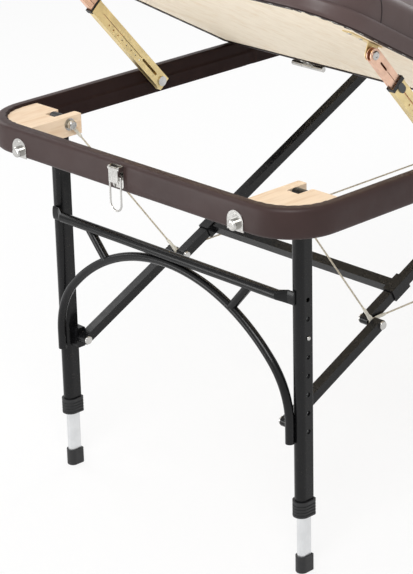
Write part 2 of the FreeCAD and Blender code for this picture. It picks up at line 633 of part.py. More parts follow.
def make_strut_bracket():
    """Angle under the board with an ear beside the strut's eye, drawn flat and lifted."""
    eye = STRUT_EYE_FLAT
    y0 = STRUT_OUT_Y + SEAT
    ear = pin_y(eye.x, eye.z, y0, y0 + PLATE, HEAD_R + 2).fuse(
        box(eye.x - HEAD_R - 2, eye.x + HEAD_R + 2, y0, y0 + PLATE, eye.z, RIM_TOP))
    foot = box(eye.x - STRUT_PLATE, eye.x + STRUT_PLATE, y0 - STRUT_FLANGE, y0 + PLATE,
               RIM_TOP - PLATE, RIM_TOP)
    return lift(ear.fuse(foot).removeSplitter())


# Catch on the end face: base with ears, lever, wire bail, and a keeper on the other half
CATCH_Z = RIM_BOTTOM + CATCH_LIFT
LEVER_PIN = V(END_X - CATCH_OUT, CATCH_Y, CATCH_Z + CATCH_BASE * LEVER_SHARE)
BAIL_PIN = V(END_X - CATCH_OUT, CATCH_Y, CATCH_Z + CATCH_BASE * BAIL_SHARE)


def make_catch():
    half = CATCH_WIDTH / 2
    base = box(END_X - PLATE, END_X, CATCH_Y - half, CATCH_Y + half, CATCH_Z, CATCH_Z + CATCH_BASE)
    base = base.makeFillet(4, [e for e in base.Edges if abs(e.Length - PLATE) < 1e-6])
    ear_in = half - PLATE
    ears = []
    for y in (CATCH_Y - half, CATCH_Y + ear_in):
        ears += [box(LEVER_PIN.x, END_X, y, y + PLATE, LEVER_PIN.z - CATCH_EYE, LEVER_PIN.z + CATCH_EYE),
                 pin_y(LEVER_PIN.x, LEVER_PIN.z, y, y + PLATE, CATCH_EYE)]
    pin = pin_y(LEVER_PIN.x, LEVER_PIN.z, CATCH_Y - half, CATCH_Y + half, PIN_R)
    base = base.fuse(ears + [pin]).removeSplitter()
    arm = ear_in - SEAT
    x0 = LEVER_PIN.x - CATCH_EYE
    lever = box(x0, x0 + PLATE, CATCH_Y - arm, CATCH_Y + arm,
                CATCH_Z + LEVER_LIFT, LEVER_PIN.z + PLATE)
    cheeks = []
    for y in (CATCH_Y - arm, CATCH_Y + arm - PLATE):
        cheeks.append(box(x0, LEVER_PIN.x, y, y + PLATE, BAIL_PIN.z - CATCH_EYE, LEVER_PIN.z + PLATE))
        for eye in (LEVER_PIN, BAIL_PIN):
            cheeks.append(pin_y(eye.x, eye.z, y, y + PLATE, CATCH_EYE))
    lever = lever.fuse(cheeks).removeSplitter()
    lever = lever.cut(pin_y(LEVER_PIN.x, LEVER_PIN.z, -WIDTH, WIDTH, PIN_R + RUN))
    lever = lever.cut(pin_y(BAIL_PIN.x, BAIL_PIN.z, -WIDTH, WIDTH, WIRE_R + RUN))
    reach = arm + SEAT + WIRE_R
    top, low = BAIL_PIN.z, BAIL_PIN.z - BAIL_LENGTH
    wires = [pin_y(BAIL_PIN.x, top, CATCH_Y - reach, CATCH_Y + reach, WIRE_R)]
    for y in (CATCH_Y - reach, CATCH_Y + reach):
        wires.append(rod(V(BAIL_PIN.x, y, top), V(BAIL_PIN.x, y, low + reach), WIRE_R))
        wires.append(Part.makeSphere(WIRE_R, V(BAIL_PIN.x, y, top)))
    ring = Part.Face(Part.Wire(Part.Circle(V(BAIL_PIN.x, CATCH_Y + reach, low + reach), Z, WIRE_R).toShape()))
    wires.append(ring.revolve(V(BAIL_PIN.x, CATCH_Y, low + reach), X, -180))
    bail = wires[0].fuse(wires[1:]).removeSplitter()
    return base, lever, bail


def make_keeper():
    """Hook plate, drawn on the -X end; it stands inside the bail when the halves are shut."""
    z = FOLD_Z + (FOLD_Z - (BAIL_PIN.z - BAIL_LENGTH + 12))
    plate = box(END_X - PLATE, END_X, CATCH_Y - 9, CATCH_Y + 9, z - 10, z + 16)
    plate = plate.makeFillet(4, [e for e in plate.Edges if abs(e.Length - PLATE) < 1e-6])
    hook = box(END_X - 7, END_X, CATCH_Y - 5, CATCH_Y + 5, z - 3, z)
    lip = box(END_X - 7 - PLATE, END_X - 7, CATCH_Y - 5, CATCH_Y + 5, z - 3, z + 4)
    return plate.fuse([hook, lip]).removeSplitter()


def make_stud_plates():
    """Round-topped plates with a stud, near both ends of the end face."""
    low = RIM_BOTTOM + STUD_LIFT
    half = STUD_PLATE_W / 2
    top = low + STUD_PLATE_H
    plate = box(END_X - PLATE, END_X, STUD_Y - half, STUD_Y + half, low, top - half)
    plate = plate.fuse(rod(V(END_X - PLATE, STUD_Y, top - half), V(END_X, STUD_Y, top - half), half))
    plate = plate.common(box(END_X - PLATE, END_X, STUD_Y - half, STUD_Y + half, low, top))
    stud = rod(V(END_X, STUD_Y, low + STUD_R + 1), V(END_X - STUD_OUT, STUD_Y, low + STUD_R + 1), STUD_R)
    stud = stud.makeFillet(STUD_R * 0.4, [e for e in stud.Edges if e.CenterOfMass.x < END_X - STUD_OUT + 1e-3])
    return pair(plate.fuse(stud).removeSplitter())


os.makedirs("parts", exist_ok=True)

crossbar, arch = make_crossbar(), make_arch()
inner_leg, foot, button = make_inner_leg(), make_foot(), make_button()
strut_outer, strut_inner, strut_clip, rail_pin = make_strut()
halves = {
    "rim": [make_rim()],
    "corner_blocks": pair(make_block()),
    "frame_bolts": make_frame_bolts(),
    "top_brackets": pair(make_top_bracket()),
    "legs": pair(make_leg()) + pair(make_foot_bracket()),
    "leg_collars": pair(make_collar()),
    "leg_stretcher": [crossbar] + arch,
    "lower_braces": pair(brace(FOOT, KNEE, LOWER_LANE)),
    "upper_braces": pair(brace(KNEE, TOP, UPPER_LANE)),
    "brace_tie": make_tie(),
    "brace_bolts": make_brace_bolts(),
    "knee_bolts": make_knee_bolts(),
    "cables": pair(make_cables()),
    "stud_plates": make_stud_plates(),
    "left_inner_leg": [inner_leg],
    "right_inner_leg": [flip_y(inner_leg)],
    "left_foot": [foot],
    "right_foot": [flip_y(foot)],
    "left_button": [button],
    "right_button": [flip_y(button)],
}
for node, shapes in halves.items():
    extra = pair(rail_pin) if node == "frame_bolts" else []
    save(f"near_{node}", shapes + extra)
    save(f"far_{node}", [flip_x(s) for s in shapes])

# Hinge between the halves: leaves under the two walls, one pin each
near_leaves, far_leaves, pins = [], [], []
for y in (-MID_HINGE_Y, MID_HINGE_Y):
    near_leaves.append(knuckle_leaf(0, FOLD_Z, hinge_spans(y, False), -1, RIM_BOTTOM, LEAF))
    far_leaves.append(knuckle_leaf(0, FOLD_Z, hinge_spans(y, True), 1, RIM_BOTTOM, LEAF))
    pins.append(pin_y(0, FOLD_Z, y - HINGE_LENGTH / 2, y + HINGE_LENGTH / 2, PIN_R))
save("near_hinge_leaves", near_leaves)
save("far_hinge_leaves", far_leaves)
save("hinge_pins", pins)

back_board, back_pad = make_back()
save("back_board", back_board)
save("back_pad", back_pad)
fixed_leaves, back_leaves = make_back_hinge()
save("back_hinge_base", fixed_leaves)
save("back_hinge_leaves", back_leaves)
save("middle_board", box(BACK_HINGE_X + BOARD_GAP / 2, -MID_GAP, EDGE_WRAP - WIDTH / 2, WIDTH / 2 - EDGE_WRAP,
                         RIM_TOP, BOARD_TOP))
save("middle_pad", pad_block(BACK_HINGE_X + BOARD_GAP / 2, -MID_GAP, 0))
save("far_board", flip_x(plan(END_X, -MID_GAP, WIDTH / 2 - EDGE_WRAP, RIM_CORNER, RIM_TOP, BOARD)))
save("far_pad", flip_x(pad_block(END_X, -MID_GAP, RIM_CORNER)))

save("strut_channels", pair(strut_outer))
save("strut_slides", pair(strut_inner))
save("strut_clips", pair(strut_clip))
save("strut_brackets", pair(make_strut_bracket()))

catch_base, catch_lever, catch_bail = make_catch()
save("catch_base", catch_base)
save("catch_lever", catch_lever)
save("catch_bail", catch_bail)
save("catch_keeper", flip_x(make_keeper()))
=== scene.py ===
"""Folding massage table: upholstery, cables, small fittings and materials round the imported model.

Metres, in the model's own frame: +X along the table away from the lifting panel, +Z up, floor at 0.
Pieces of the far half are drawn at -X like the near ones, and then mirrored.
"""
import json
import math

import bmesh
import bpy
from mathutils import Matrix, Vector, noise
from mathutils.bvhtree import BVHTree


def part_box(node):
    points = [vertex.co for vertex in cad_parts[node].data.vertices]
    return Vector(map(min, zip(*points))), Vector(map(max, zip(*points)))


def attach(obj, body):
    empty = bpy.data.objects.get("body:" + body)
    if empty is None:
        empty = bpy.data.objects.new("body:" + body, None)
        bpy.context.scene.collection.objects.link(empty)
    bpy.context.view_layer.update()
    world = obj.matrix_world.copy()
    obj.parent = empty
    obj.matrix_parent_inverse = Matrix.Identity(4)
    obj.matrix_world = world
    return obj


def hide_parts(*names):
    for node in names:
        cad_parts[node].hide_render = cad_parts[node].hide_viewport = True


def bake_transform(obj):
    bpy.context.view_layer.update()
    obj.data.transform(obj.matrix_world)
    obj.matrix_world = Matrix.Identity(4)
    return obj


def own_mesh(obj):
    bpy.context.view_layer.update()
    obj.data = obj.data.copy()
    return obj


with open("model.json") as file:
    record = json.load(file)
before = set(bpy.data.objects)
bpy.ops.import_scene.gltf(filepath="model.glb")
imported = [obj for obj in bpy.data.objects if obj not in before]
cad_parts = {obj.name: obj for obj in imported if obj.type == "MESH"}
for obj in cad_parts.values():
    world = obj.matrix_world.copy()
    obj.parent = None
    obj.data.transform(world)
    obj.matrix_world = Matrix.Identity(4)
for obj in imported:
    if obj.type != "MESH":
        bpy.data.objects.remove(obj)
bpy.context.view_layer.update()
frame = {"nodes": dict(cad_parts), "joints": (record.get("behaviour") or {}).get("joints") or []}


# Sizes read from the frame
def node_box(node):
    """Lowest and highest corner of a node, rounded to a micrometre."""
    low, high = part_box(node)
    return [round(v, 6) for v in low], [round(v, 6) for v in high]


JOINTS = {joint["name"]: joint for joint in frame["joints"]}
RIM_MIN, RIM_MAX = node_box("near_rim")
END_X = -RIM_MIN[0]
HALF_WIDTH = RIM_MAX[1]
MID_GAP = -RIM_MAX[0]
RIM_LOW, RIM_TOP = RIM_MIN[2], RIM_MAX[2]
BOARD_TOP = node_box("middle_board")[1][2]
PAD_TOP = node_box("middle_pad")[1][2]
PAD_HEIGHT = PAD_TOP - BOARD_TOP
KNEE_MIN, KNEE_MAX = node_box("near_knee_bolts")
KNEE_X = (KNEE_MIN[0] + KNEE_MAX[0]) / 2
KNEE_Z = (KNEE_MIN[2] + KNEE_MAX[2]) / 2
LEG_PIVOT = Vector(JOINTS["near_legs_fold"]["pos_m"])
BACK_PIN = Vector(JOINTS["back_tilt"]["pos_m"])
BACK_ANGLE = math.radians(-JOINTS["back_tilt"]["range_deg"][0])
STRUT_FOOT = Vector(JOINTS["strut_swing"]["pos_m"])
STRUT_OUT = node_box("strut_channels")[1][1]

# Sizes that several pieces share
RIM_WALL = 0.018
COVER_TOP = RIM_TOP - 0.0015
CORNER = 0.085
SQUARE_CORNER = 0.004
MIDDLE_END = BACK_PIN.x + 0.001
BACK_BOARD_END = BACK_PIN.x - 0.0029
BACK_PAD_END = BACK_PIN.x - 0.0105
BACK_LEAN = 0.034
SHEET_METAL = 0.0016
STRUT_ARM, STRUT_DROP = 0.406, 0.0115
STRUT_DEPTH = 0.012

# The panel's pieces are drawn lying and then lifted to the place that it has at rest
LIFT = (Matrix.Translation(BACK_PIN) @ Matrix.Rotation(BACK_ANGLE, 4, "Y")
        @ Matrix.Translation(-BACK_PIN))
STRUT_EYE_FLAT = BACK_PIN - Vector((STRUT_ARM, 0.0, STRUT_DROP))
STRUT_EYE = LIFT @ STRUT_EYE_FLAT
STRUT_LONG = (STRUT_EYE - STRUT_FOOT).length
STRUT_IN = STRUT_OUT - STRUT_DEPTH

# Camera at the photograph's viewpoint, with lens and sensor in millimetres
CAMERA_AT = Vector((-2.9644, -2.3358, 1.6650))
CAMERA_RIGHT = Vector((0.7218, -0.6922, -0.0232))
CAMERA_UP = Vector((0.2745, 0.2552, 0.9275))
CAMERA_FORWARD = Vector((0.6357, 0.6753, -0.3740))
LENS, SENSOR_HEIGHT = 139.87, 36.0


def add_camera():
    data = bpy.data.cameras.new("camera")
    data.sensor_fit = "VERTICAL"
    data.sensor_height = SENSOR_HEIGHT
    data.lens = LENS
    camera = bpy.data.objects.new("camera", data)
    bpy.context.scene.collection.objects.link(camera)
    turn = Matrix((CAMERA_RIGHT, CAMERA_UP, -CAMERA_FORWARD)).transposed().to_4x4()
    camera.matrix_world = Matrix.Translation(CAMERA_AT) @ turn
    bpy.context.scene.camera = camera


# Node helpers
def start(name):
    material = bpy.data.materials.new(name)
    material.use_nodes = True
    tree = material.node_tree
    return material, tree, tree.nodes["Principled BSDF"]


def put(tree, kind, **values):
    """New node; each value sets the input of that name, or else the property."""
    node = tree.nodes.new(kind)
    for key, value in values.items():
        if key in node.inputs:
            node.inputs[key].default_value = value
        else:
            setattr(node, key, value)
    return node


def place(tree, scale=(1, 1, 1)):
    """Object coordinates, stretched."""
    source = put(tree, "ShaderNodeTexCoord")
    mapping = put(tree, "ShaderNodeMapping", Scale=scale)
    tree.links.new(source.outputs["Object"], mapping.inputs["Vector"])
    return mapping.outputs["Vector"]


def cloud(tree, where, scale, detail=4.0, rough=0.55):
    node = put(tree, "ShaderNodeTexNoise", Scale=scale, Detail=detail, Roughness=rough)
    tree.links.new(where, node.inputs["Vector"])
    return node.outputs["Fac"]


def ramp(tree, fac, *stops):
    """Colour from (position, colour) stops."""
    node = put(tree, "ShaderNodeValToRGB")
    bar = node.color_ramp.elements
    while len(bar) < len(stops):
        bar.new(0.5)
    for element, (at, colour) in zip(bar, stops):
        element.position = at
        element.color = (*colour, 1.0)
    tree.links.new(fac, node.inputs["Fac"])
    return node.outputs["Color"]


def tint(colour, gain):
    return tuple(min(1.0, c * gain) for c in colour)


def mottle(tree, fac, colour, low, high, end_at=0.7):
    """The colour times low to high, as the texture goes from dark to pale."""
    return ramp(tree, fac, (0.3, tint(colour, low)), (end_at, tint(colour, high)))


def span(tree, fac, low, high, start_at=0.3, end_at=0.7):
    """Values from low to high, as the texture goes from start_at to end_at."""
    node = put(tree, "ShaderNodeMapRange")
    for key, value in (("From Min", start_at), ("From Max", end_at), ("To Min", low), ("To Max", high)):
        node.inputs[key].default_value = value
    tree.links.new(fac, node.inputs["Value"])
    return node.outputs["Result"]


def finish_shader(tree, shader, colour, rough, *layers):
    """Links the colour, and the roughness unless it is a plain number.

    Each layer is a (height, strength, depth in metres) and stacks on the normal.
    """
    tree.links.new(colour, shader.inputs["Base Color"])
    if isinstance(rough, float):
        shader.inputs["Roughness"].default_value = rough
    else:
        tree.links.new(rough, shader.inputs["Roughness"])
    last = None
    for height, strength, depth in layers:
        node = put(tree, "ShaderNodeBump", Strength=strength, Distance=depth)
        tree.links.new(height, node.inputs["Height"])
        if last:
            tree.links.new(last, node.inputs["Normal"])
        last = node.outputs["Normal"]
    tree.links.new(last, shader.inputs["Normal"])


# Materials
def vinyl(name, colour, sheen, rough=0.40):
    """Upholstery vinyl with a fine cell grain and soft waves."""
    material, tree, shader = start(name)
    where = place(tree)
    tone = mottle(tree, cloud(tree, where, scale=9.0, detail=3.0), colour, low=0.86, high=1.12)
    gloss = span(tree, cloud(tree, where, scale=35.0), rough, rough + 0.12)
    cells = put(tree, "ShaderNodeTexVoronoi", Scale=620.0, feature="DISTANCE_TO_EDGE")
    tree.links.new(where, cells.inputs["Vector"])
    grain = span(tree, cells.outputs["Distance"], low=0.0, high=1.0, start_at=0.0, end_at=0.12)
    waves = cloud(tree, where, scale=22.0, detail=2.0)
    finish_shader(tree, shader, tone, gloss, (waves, 0.18, 0.003), (grain, 0.12, 0.00025))
    shader.inputs["Specular IOR Level"].default_value = sheen
    return material


def wood(name, pale, dark, along, fine, fine_share=0.4):
    """Grain along one axis: along is the stretch on X, Y and Z, fine how much thinner the thin grain is."""
    material, tree, shader = start(name)
    broad = cloud(tree, place(tree, along), scale=1.0, detail=5.0, rough=0.6)
    thin = cloud(tree, place(tree, tuple(a * fine for a in along)), scale=1.0, detail=2.0)
    mix = put(tree, "ShaderNodeMix", data_type="FLOAT")
    mix.inputs[0].default_value = fine_share
    tree.links.new(broad, mix.inputs[2])
    tree.links.new(thin, mix.inputs[3])
    grain = mix.outputs[0]
    tone = ramp(tree, grain, (0.36, dark), (0.5, pale), (0.66, tint(pale, 1.06)))
    gloss = span(tree, grain, low=0.62, high=0.5)
    finish_shader(tree, shader, tone, gloss, (grain, 0.15, 0.0006))
    return material


def paint(name, colour, rough, sheen):
    """Satin powder coat with a faint orange peel."""
    material, tree, shader = start(name)
    where = place(tree)
    tone = mottle(tree, cloud(tree, where, scale=30.0), colour, low=0.8, high=1.3, end_at=0.75)
    gloss = span(tree, cloud(tree, where, scale=90.0), rough - 0.05, rough + 0.07)
    peel = cloud(tree, where, scale=480.0, detail=2.0)
    finish_shader(tree, shader, tone, gloss, (peel, 0.05, 0.0003))
    shader.inputs["Specular IOR Level"].default_value = sheen
    return material


def metal(name, colour, rough, along=(40, 40, 40), wear=0.12):
    """Bare or plated metal: along is the stretch of its drawn lines, wear how far its tone varies."""
    material, tree, shader = start(name)
    lines = cloud(tree, place(tree, along), scale=6.0, detail=5.0, rough=0.65)
    tone = mottle(tree, cloud(tree, place(tree), scale=55.0), colour, low=1 - wear, high=1 + wear)
    gloss = span(tree, lines, rough - 0.06, rough + 0.1)
    finish_shader(tree, shader, tone, gloss, (lines, 0.06, 0.0002))
    shader.inputs["Metallic"].default_value = 1.0
    return material


def plastic(name, colour, rough):
    """Moulded plastic with a fine grit."""
    material, tree, shader = start(name)
    where = place(tree)
    tone = mottle(tree, cloud(tree, where, scale=45.0), colour, low=0.8, high=1.25)
    gloss = span(tree, cloud(tree, where, scale=120.0), rough - 0.04, rough + 0.08)
    grit = cloud(tree, where, scale=900.0, detail=2.0)
    finish_shader(tree, shader, tone, gloss, (grit, 0.12, 0.0002))
    return material


def rope(name, pale, dark):
    """Dull wire rope with darker spots between the wires."""
    material, tree, shader = start(name)
    where = place(tree)
    spots = cloud(tree, where, scale=260.0)
    wires = cloud(tree, where, scale=1500.0, detail=2.0)
    tone = ramp(tree, spots, (0.35, dark), (0.6, pale))
    finish_shader(tree, shader, tone, 0.55, (wires, 0.3, 0.0004))
    return material


VINYL = vinyl("brown_vinyl", (0.040, 0.020, 0.018), sheen=0.30)
# A lighter, glossier copy of the rim's vinyl: painted light for the pads and board edges, whose tops are lit
# from above.
LIT_VINYL = vinyl("vinyl_painted_light", (0.084, 0.053, 0.050), sheen=0.45, rough=0.36)
# A darker, duller copy of the rim's vinyl: painted shade for the faces inside the rim and under the lifting
# board.
SHADED_VINYL = vinyl("brown_vinyl_painted_shade", (0.021, 0.0105, 0.0098), sheen=0.10, rough=0.5)
THREAD = plastic("dark_thread", (0.010, 0.007, 0.007), rough=0.7)
PLY = wood("plywood", pale=(0.94, 0.83, 0.66), dark=(0.88, 0.74, 0.55), along=(3.0, 34.0, 34.0), fine=3.5)
BLOCK = wood("block_wood", pale=(0.87, 0.69, 0.51), dark=(0.78, 0.57, 0.38), along=(7.0, 60.0, 60.0),
             fine=2.8)
BLACK = paint("black_steel", (0.0055, 0.0055, 0.006), rough=0.23, sheen=0.26)
ALU = metal("bare_aluminium", (0.72, 0.73, 0.74), rough=0.34, along=(160, 160, 6), wear=0.05)
NICKEL = metal("bright_nickel", (0.55, 0.54, 0.52), rough=0.15)
GOLD = metal("yellow_zinc", (0.84, 0.68, 0.36), rough=0.38)
ROSE = metal("rose_zinc", (0.90, 0.60, 0.45), rough=0.38)
RUBBER = plastic("black_plastic", (0.009, 0.009, 0.010), rough=0.46)
THUMB = plastic("grey_plastic", (0.055, 0.060, 0.062), rough=0.50)
ROPE = rope("wire_rope", pale=(0.66, 0.60, 0.48), dark=(0.42, 0.36, 0.26))
SLEEVE = plastic("pale_sleeve", (0.72, 0.69, 0.60), rough=0.42)
STAPLE = metal("staple_wire", (0.62, 0.61, 0.58), rough=0.28)

# Materials of the nodes that show, apart from black steel
NODE_MATERIALS = (
    (PLY, "middle_board", "far_board", "back_board"),
    (BLOCK, "near_corner_blocks", "far_corner_blocks"),
    (RUBBER, "near_leg_collars", "far_leg_collars", "near_left_foot", "near_right_foot",
     "far_left_foot", "far_right_foot"),
    (ALU, "near_left_inner_leg", "near_right_inner_leg", "far_left_inner_leg", "far_right_inner_leg"),
    (NICKEL, "catch_base", "catch_lever", "catch_bail", "catch_keeper", "near_stud_plates", "far_stud_plates",
     "back_hinge_base", "back_hinge_leaves", "near_hinge_leaves", "far_hinge_leaves", "hinge_pins",
     "near_frame_bolts", "far_frame_bolts", "near_brace_bolts", "far_brace_bolts", "near_knee_bolts",
     "far_knee_bolts", "near_left_button", "near_right_button", "far_left_button", "far_right_button"),
)


def dress_nodes():
    chosen = {node: row[0] for row in NODE_MATERIALS for node in row[1:]}
    for name, obj in frame["nodes"].items():
        for at in obj.material_slots:
            at.material = chosen.get(name, BLACK)


# Mesh helpers
def piece(name, mesh, material, body=None):
    obj = bpy.data.objects.new(name, mesh)
    bpy.context.scene.collection.objects.link(obj)
    mesh.materials.clear()
    mesh.materials.append(material)
    for polygon in mesh.polygons:
        polygon.use_smooth = True
    if body:
        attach(obj, body)
    return obj


def to_mesh(bm, name, mirror_x=False):
    """Finished mesh of bm, on the far half if mirrored."""
    if mirror_x:
        bmesh.ops.scale(bm, vec=(-1, 1, 1), verts=bm.verts)
    bmesh.ops.recalc_face_normals(bm, faces=bm.faces)
    mesh = bpy.data.meshes.new(name)
    bm.to_mesh(mesh)
    bm.free()
    return mesh


def loft(bm, rings, closed_ring=True, closed_path=False):
    """Quads between rings of points, with end caps on an open path of closed rings."""
    rows = [[bm.verts.new(p) for p in ring] for ring in rings]
    count = len(rows[0])
    pairs = list(zip(rows, rows[1:])) + ([(rows[-1], rows[0])] if closed_path else [])
    for a, b in pairs:
        for i in range(count if closed_ring else count - 1):
            j = (i + 1) % count
            bm.faces.new((a[i], a[j], b[j], b[i]))
    if closed_ring and not closed_path:
        bm.faces.new(rows[0])
        bm.faces.new(rows[-1][::-1])


def thicken(bm, thickness):
    """Gives a skin its thickness."""
    bmesh.ops.recalc_face_normals(bm, faces=bm.faces)
    bmesh.ops.solidify(bm, geom=bm.faces[:], thickness=thickness)


def tube(bm, path, radius, sides):
    """Tube along a path; radius(distance, angle) gives its skin."""
    rings = []
    gone = 0.0
    side = None
    for i, p in enumerate(path):
        ahead = (path[min(i + 1, len(path) - 1)] - path[max(i - 1, 0)]).normalized()
        if side is None:
            side = ahead.orthogonal().normalized()
        side = (side - ahead * side.dot(ahead)).normalized()
        other = ahead.cross(side)
        if i:
            gone += (p - path[i - 1]).length
        ring = []
        for k in range(sides):
            a = 2 * math.pi * k / sides
            ring.append(p + (side * math.cos(a) + other * math.sin(a)) * radius(gone, a))
        rings.append(ring)
    loft(bm, rings)


def steps(a, b, size):
    """Even steps from a to b, each close to the size."""
    count = max(1, round(abs(b - a) / size))
    return [a + (b - a) * i / count for i in range(count + 1)]


def full_turn(size):
    """Angles in degrees once round, without the last."""
    return steps(0, 360, size)[:-1]


def polar(radius, degrees):
    """(across, up) of a point on a circle."""
    angle = math.radians(degrees)
    return radius * math.cos(angle), radius * math.sin(angle)


def line(a, b, size):
    """Points from a to b, each close to the size apart."""
    count = max(2, round((b - a).length / size))
    return [a.lerp(b, i / count) for i in range(count + 1)]


BEND_FINENESS = 0.8
LEAST_BEND = 0.02


def outline(x_end, x_hinge, half, corner, size):
    """(point, inward normal) along the two sides and the rounded end of a -X half, in plan."""
    x_bend, y_bend = x_end + corner, half - corner
    turn = math.degrees(size / corner) * BEND_FINENESS

    def bend(y, first, last):
        outward = [Vector(polar(1.0, a)) for a in steps(first, last, turn)]
        return [(Vector((x_bend, y)) + out * corner, -out) for out in outward]

    rows = [(Vector((x, -half)), Vector((0, 1))) for x in steps(x_hinge, x_bend, size)[:-1]]
    rows += bend(-y_bend, 270, 180)
    rows += [(Vector((x_end, y)), Vector((1, 0))) for y in steps(-y_bend, y_bend, size)[1:-1]]
    rows += bend(y_bend, 180, 90)
    rows += [(Vector((x, half)), Vector((0, -1))) for x in steps(x_bend, x_hinge, size)[1:]]
    return rows


def walk(path):
    """(distance gone, point, inward normal) along an outline."""
    gone = 0.0
    last = path[0][0]
    for at, inward in path:
        gone += (at - last).length
        last = at
        yield gone, at, inward


def in_bend(inward):
    """True on a rounded corner, where the normal lies along neither axis."""
    return abs(inward.x * inward.y) > LEAST_BEND


# Rims: vinyl pulled over a wooden frame, with a lapped edge along the inside
RIM_STEP = 0.005
RIM_EDGE, RIM_INNER_EDGE = 0.007, 0.003
RIM_ARC_STEP = 18
RIM_FACE_ROWS = (0.25, 0.4, 0.5, 0.6, 0.75)
FACE_PULL, EDGE_PULL, INSIDE_PULL = 1.0, 0.3, 0.5
RIM_PUFF = 0.0006
RIM_SEAM_X, RIM_SEAM_HALF, RIM_SEAM_DEPTH = -0.336, 0.006, 0.0008
RIM_TUCK, RIM_TUCK_STEP, RIM_TUCK_BAND = 0.0016, 0.020, 0.005
FOLD_WALL_STEP, FOLD_WALL_RISE = 0.02, 0.0018
FOLD_WALL_DEPTH_SHARE, FOLD_WALL_HEIGHT_SHARE = 0.99, 0.962
INSIDE_MARGIN, UNDERSIDE_BAND = 0.0025, 0.001
# (share of the height, step in from the inner wall), from the top down
RIM_LAP = ((0.8, 0.0), (0.62, 0.0), (0.53, 0.0), (0.515, 0.0012), (0.49, 0.0012), (0.47, 0.0010),
           (0.3, 0.0006), (0.15, 0.0003))
# (waves per metre, depth)
RIM_WAVES = ((16.0, 0.0007), (52.0, 0.00025))


def rim_section():
    """(inward, height, pull) round the section; pull is how far the vinyl may puff or wave there."""
    height = COVER_TOP - RIM_LOW
    inner = RIM_WALL - RIM_INNER_EDGE

    def arc(u, z, radius, first, last, pull):
        turned = [polar(radius, a) for a in steps(first, last, RIM_ARC_STEP)]
        return [(u + across, z + up, pull) for across, up in turned]

    points = arc(RIM_EDGE, RIM_EDGE, RIM_EDGE, 270, 180, EDGE_PULL)
    points += [(0.0, height * share, FACE_PULL) for share in RIM_FACE_ROWS]
    points += arc(RIM_EDGE, height - RIM_EDGE, RIM_EDGE, 180, 90, EDGE_PULL)
    points += arc(inner, height - RIM_INNER_EDGE, RIM_INNER_EDGE, 90, 0, INSIDE_PULL)
    points += [(RIM_WALL + step, height * share, INSIDE_PULL) for share, step in RIM_LAP]
    points += arc(inner, RIM_INNER_EDGE, RIM_INNER_EDGE, 0, -90, INSIDE_PULL)
    return points


def make_rim(half):
    """Vinyl cover of one half's rim, with the wall beside the fold."""
    far = half == "far"
    name = f"{half}_rim_cover"
    bm = bmesh.new()
    section = rim_section()
    rings = []
    for gone, at, inward in walk(outline(-END_X, -MID_GAP, HALF_WIDTH, CORNER, RIM_STEP)):
        into = Vector((inward.x, inward.y, 0))
        tuck = RIM_TUCK * abs(math.sin(math.pi * gone / RIM_TUCK_STEP)) if in_bend(inward) else 0.0
        ring = []
        for u, z, pull in section:
            spot = Vector((at.x, at.y, RIM_LOW + z)) + into * u
            wave = sum(noise.noise(spot * often) * depth for often, depth in RIM_WAVES)
            if u < RIM_WALL / 2:
                shift = -(RIM_PUFF + wave) * pull
            else:
                shift = max(0.0, wave) * pull
                if abs(at.x - RIM_SEAM_X) < RIM_SEAM_HALF:
                    shift -= RIM_SEAM_DEPTH
                if z > COVER_TOP - RIM_LOW - RIM_TUCK_BAND:
                    shift += tuck
            ring.append(spot + into * shift)
        rings.append(ring)
    loft(bm, rings)
    side = HALF_WIDTH - RIM_WALL
    fold_wall = [(-MID_GAP - u * FOLD_WALL_DEPTH_SHARE, RIM_LOW + FOLD_WALL_RISE + z * FOLD_WALL_HEIGHT_SHARE)
                 for u, z, _ in section]
    loft(bm, [[Vector((x, y, z)) for x, z in fold_wall] for y in steps(-side, side, FOLD_WALL_STEP)])
    cover = piece(name, to_mesh(bm, name, far), VINYL, f"{half}_frame")
    # The inner faces and the underside take the darker copy of the vinyl as painted shade.
    cover.data.materials.append(SHADED_VINYL)
    for polygon in cover.data.polygons:
        if takes_painted_shade(polygon.center):
            polygon.material_index = 1
    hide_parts(f"{half}_rim")


def takes_painted_shade(spot):
    """True on the rim's inner faces and its underside, which take the painted shade."""
    depth = min(END_X - abs(spot.x), HALF_WIDTH - abs(spot.y))
    corner = Vector((abs(spot.x) - END_X + CORNER, abs(spot.y) - HALF_WIDTH + CORNER))
    if min(corner) > 0:
        depth = CORNER - corner.length
    return depth > RIM_WALL - INSIDE_MARGIN or spot.z < RIM_LOW + UNDERSIDE_BAND


# Pads: foam under vinyl, swelled by a short cloth simulation and held flat on the board
PAD_EDGE, PAD_EDGE_STEP = 0.020, 15
PAD_INSET = 0.0008
PAD_STEP, PAD_VOXEL = 0.02, 0.0085
LEANED_EDGE_SHARE = 0.35
LEAN_SHARE, HINGE_CLEARANCE = 0.96, 0.0002
SWELL_HELD, SWELL_MOST, SWELL_FRAMES = 0.004, 0.004, 20
PAD_WAVE, PAD_WAVES_PER_METRE, PAD_WAVE_FROM = 0.0012, 7.0, 0.01
PAD_SMOOTHINGS, PAD_SMOOTHING = 2, 0.4


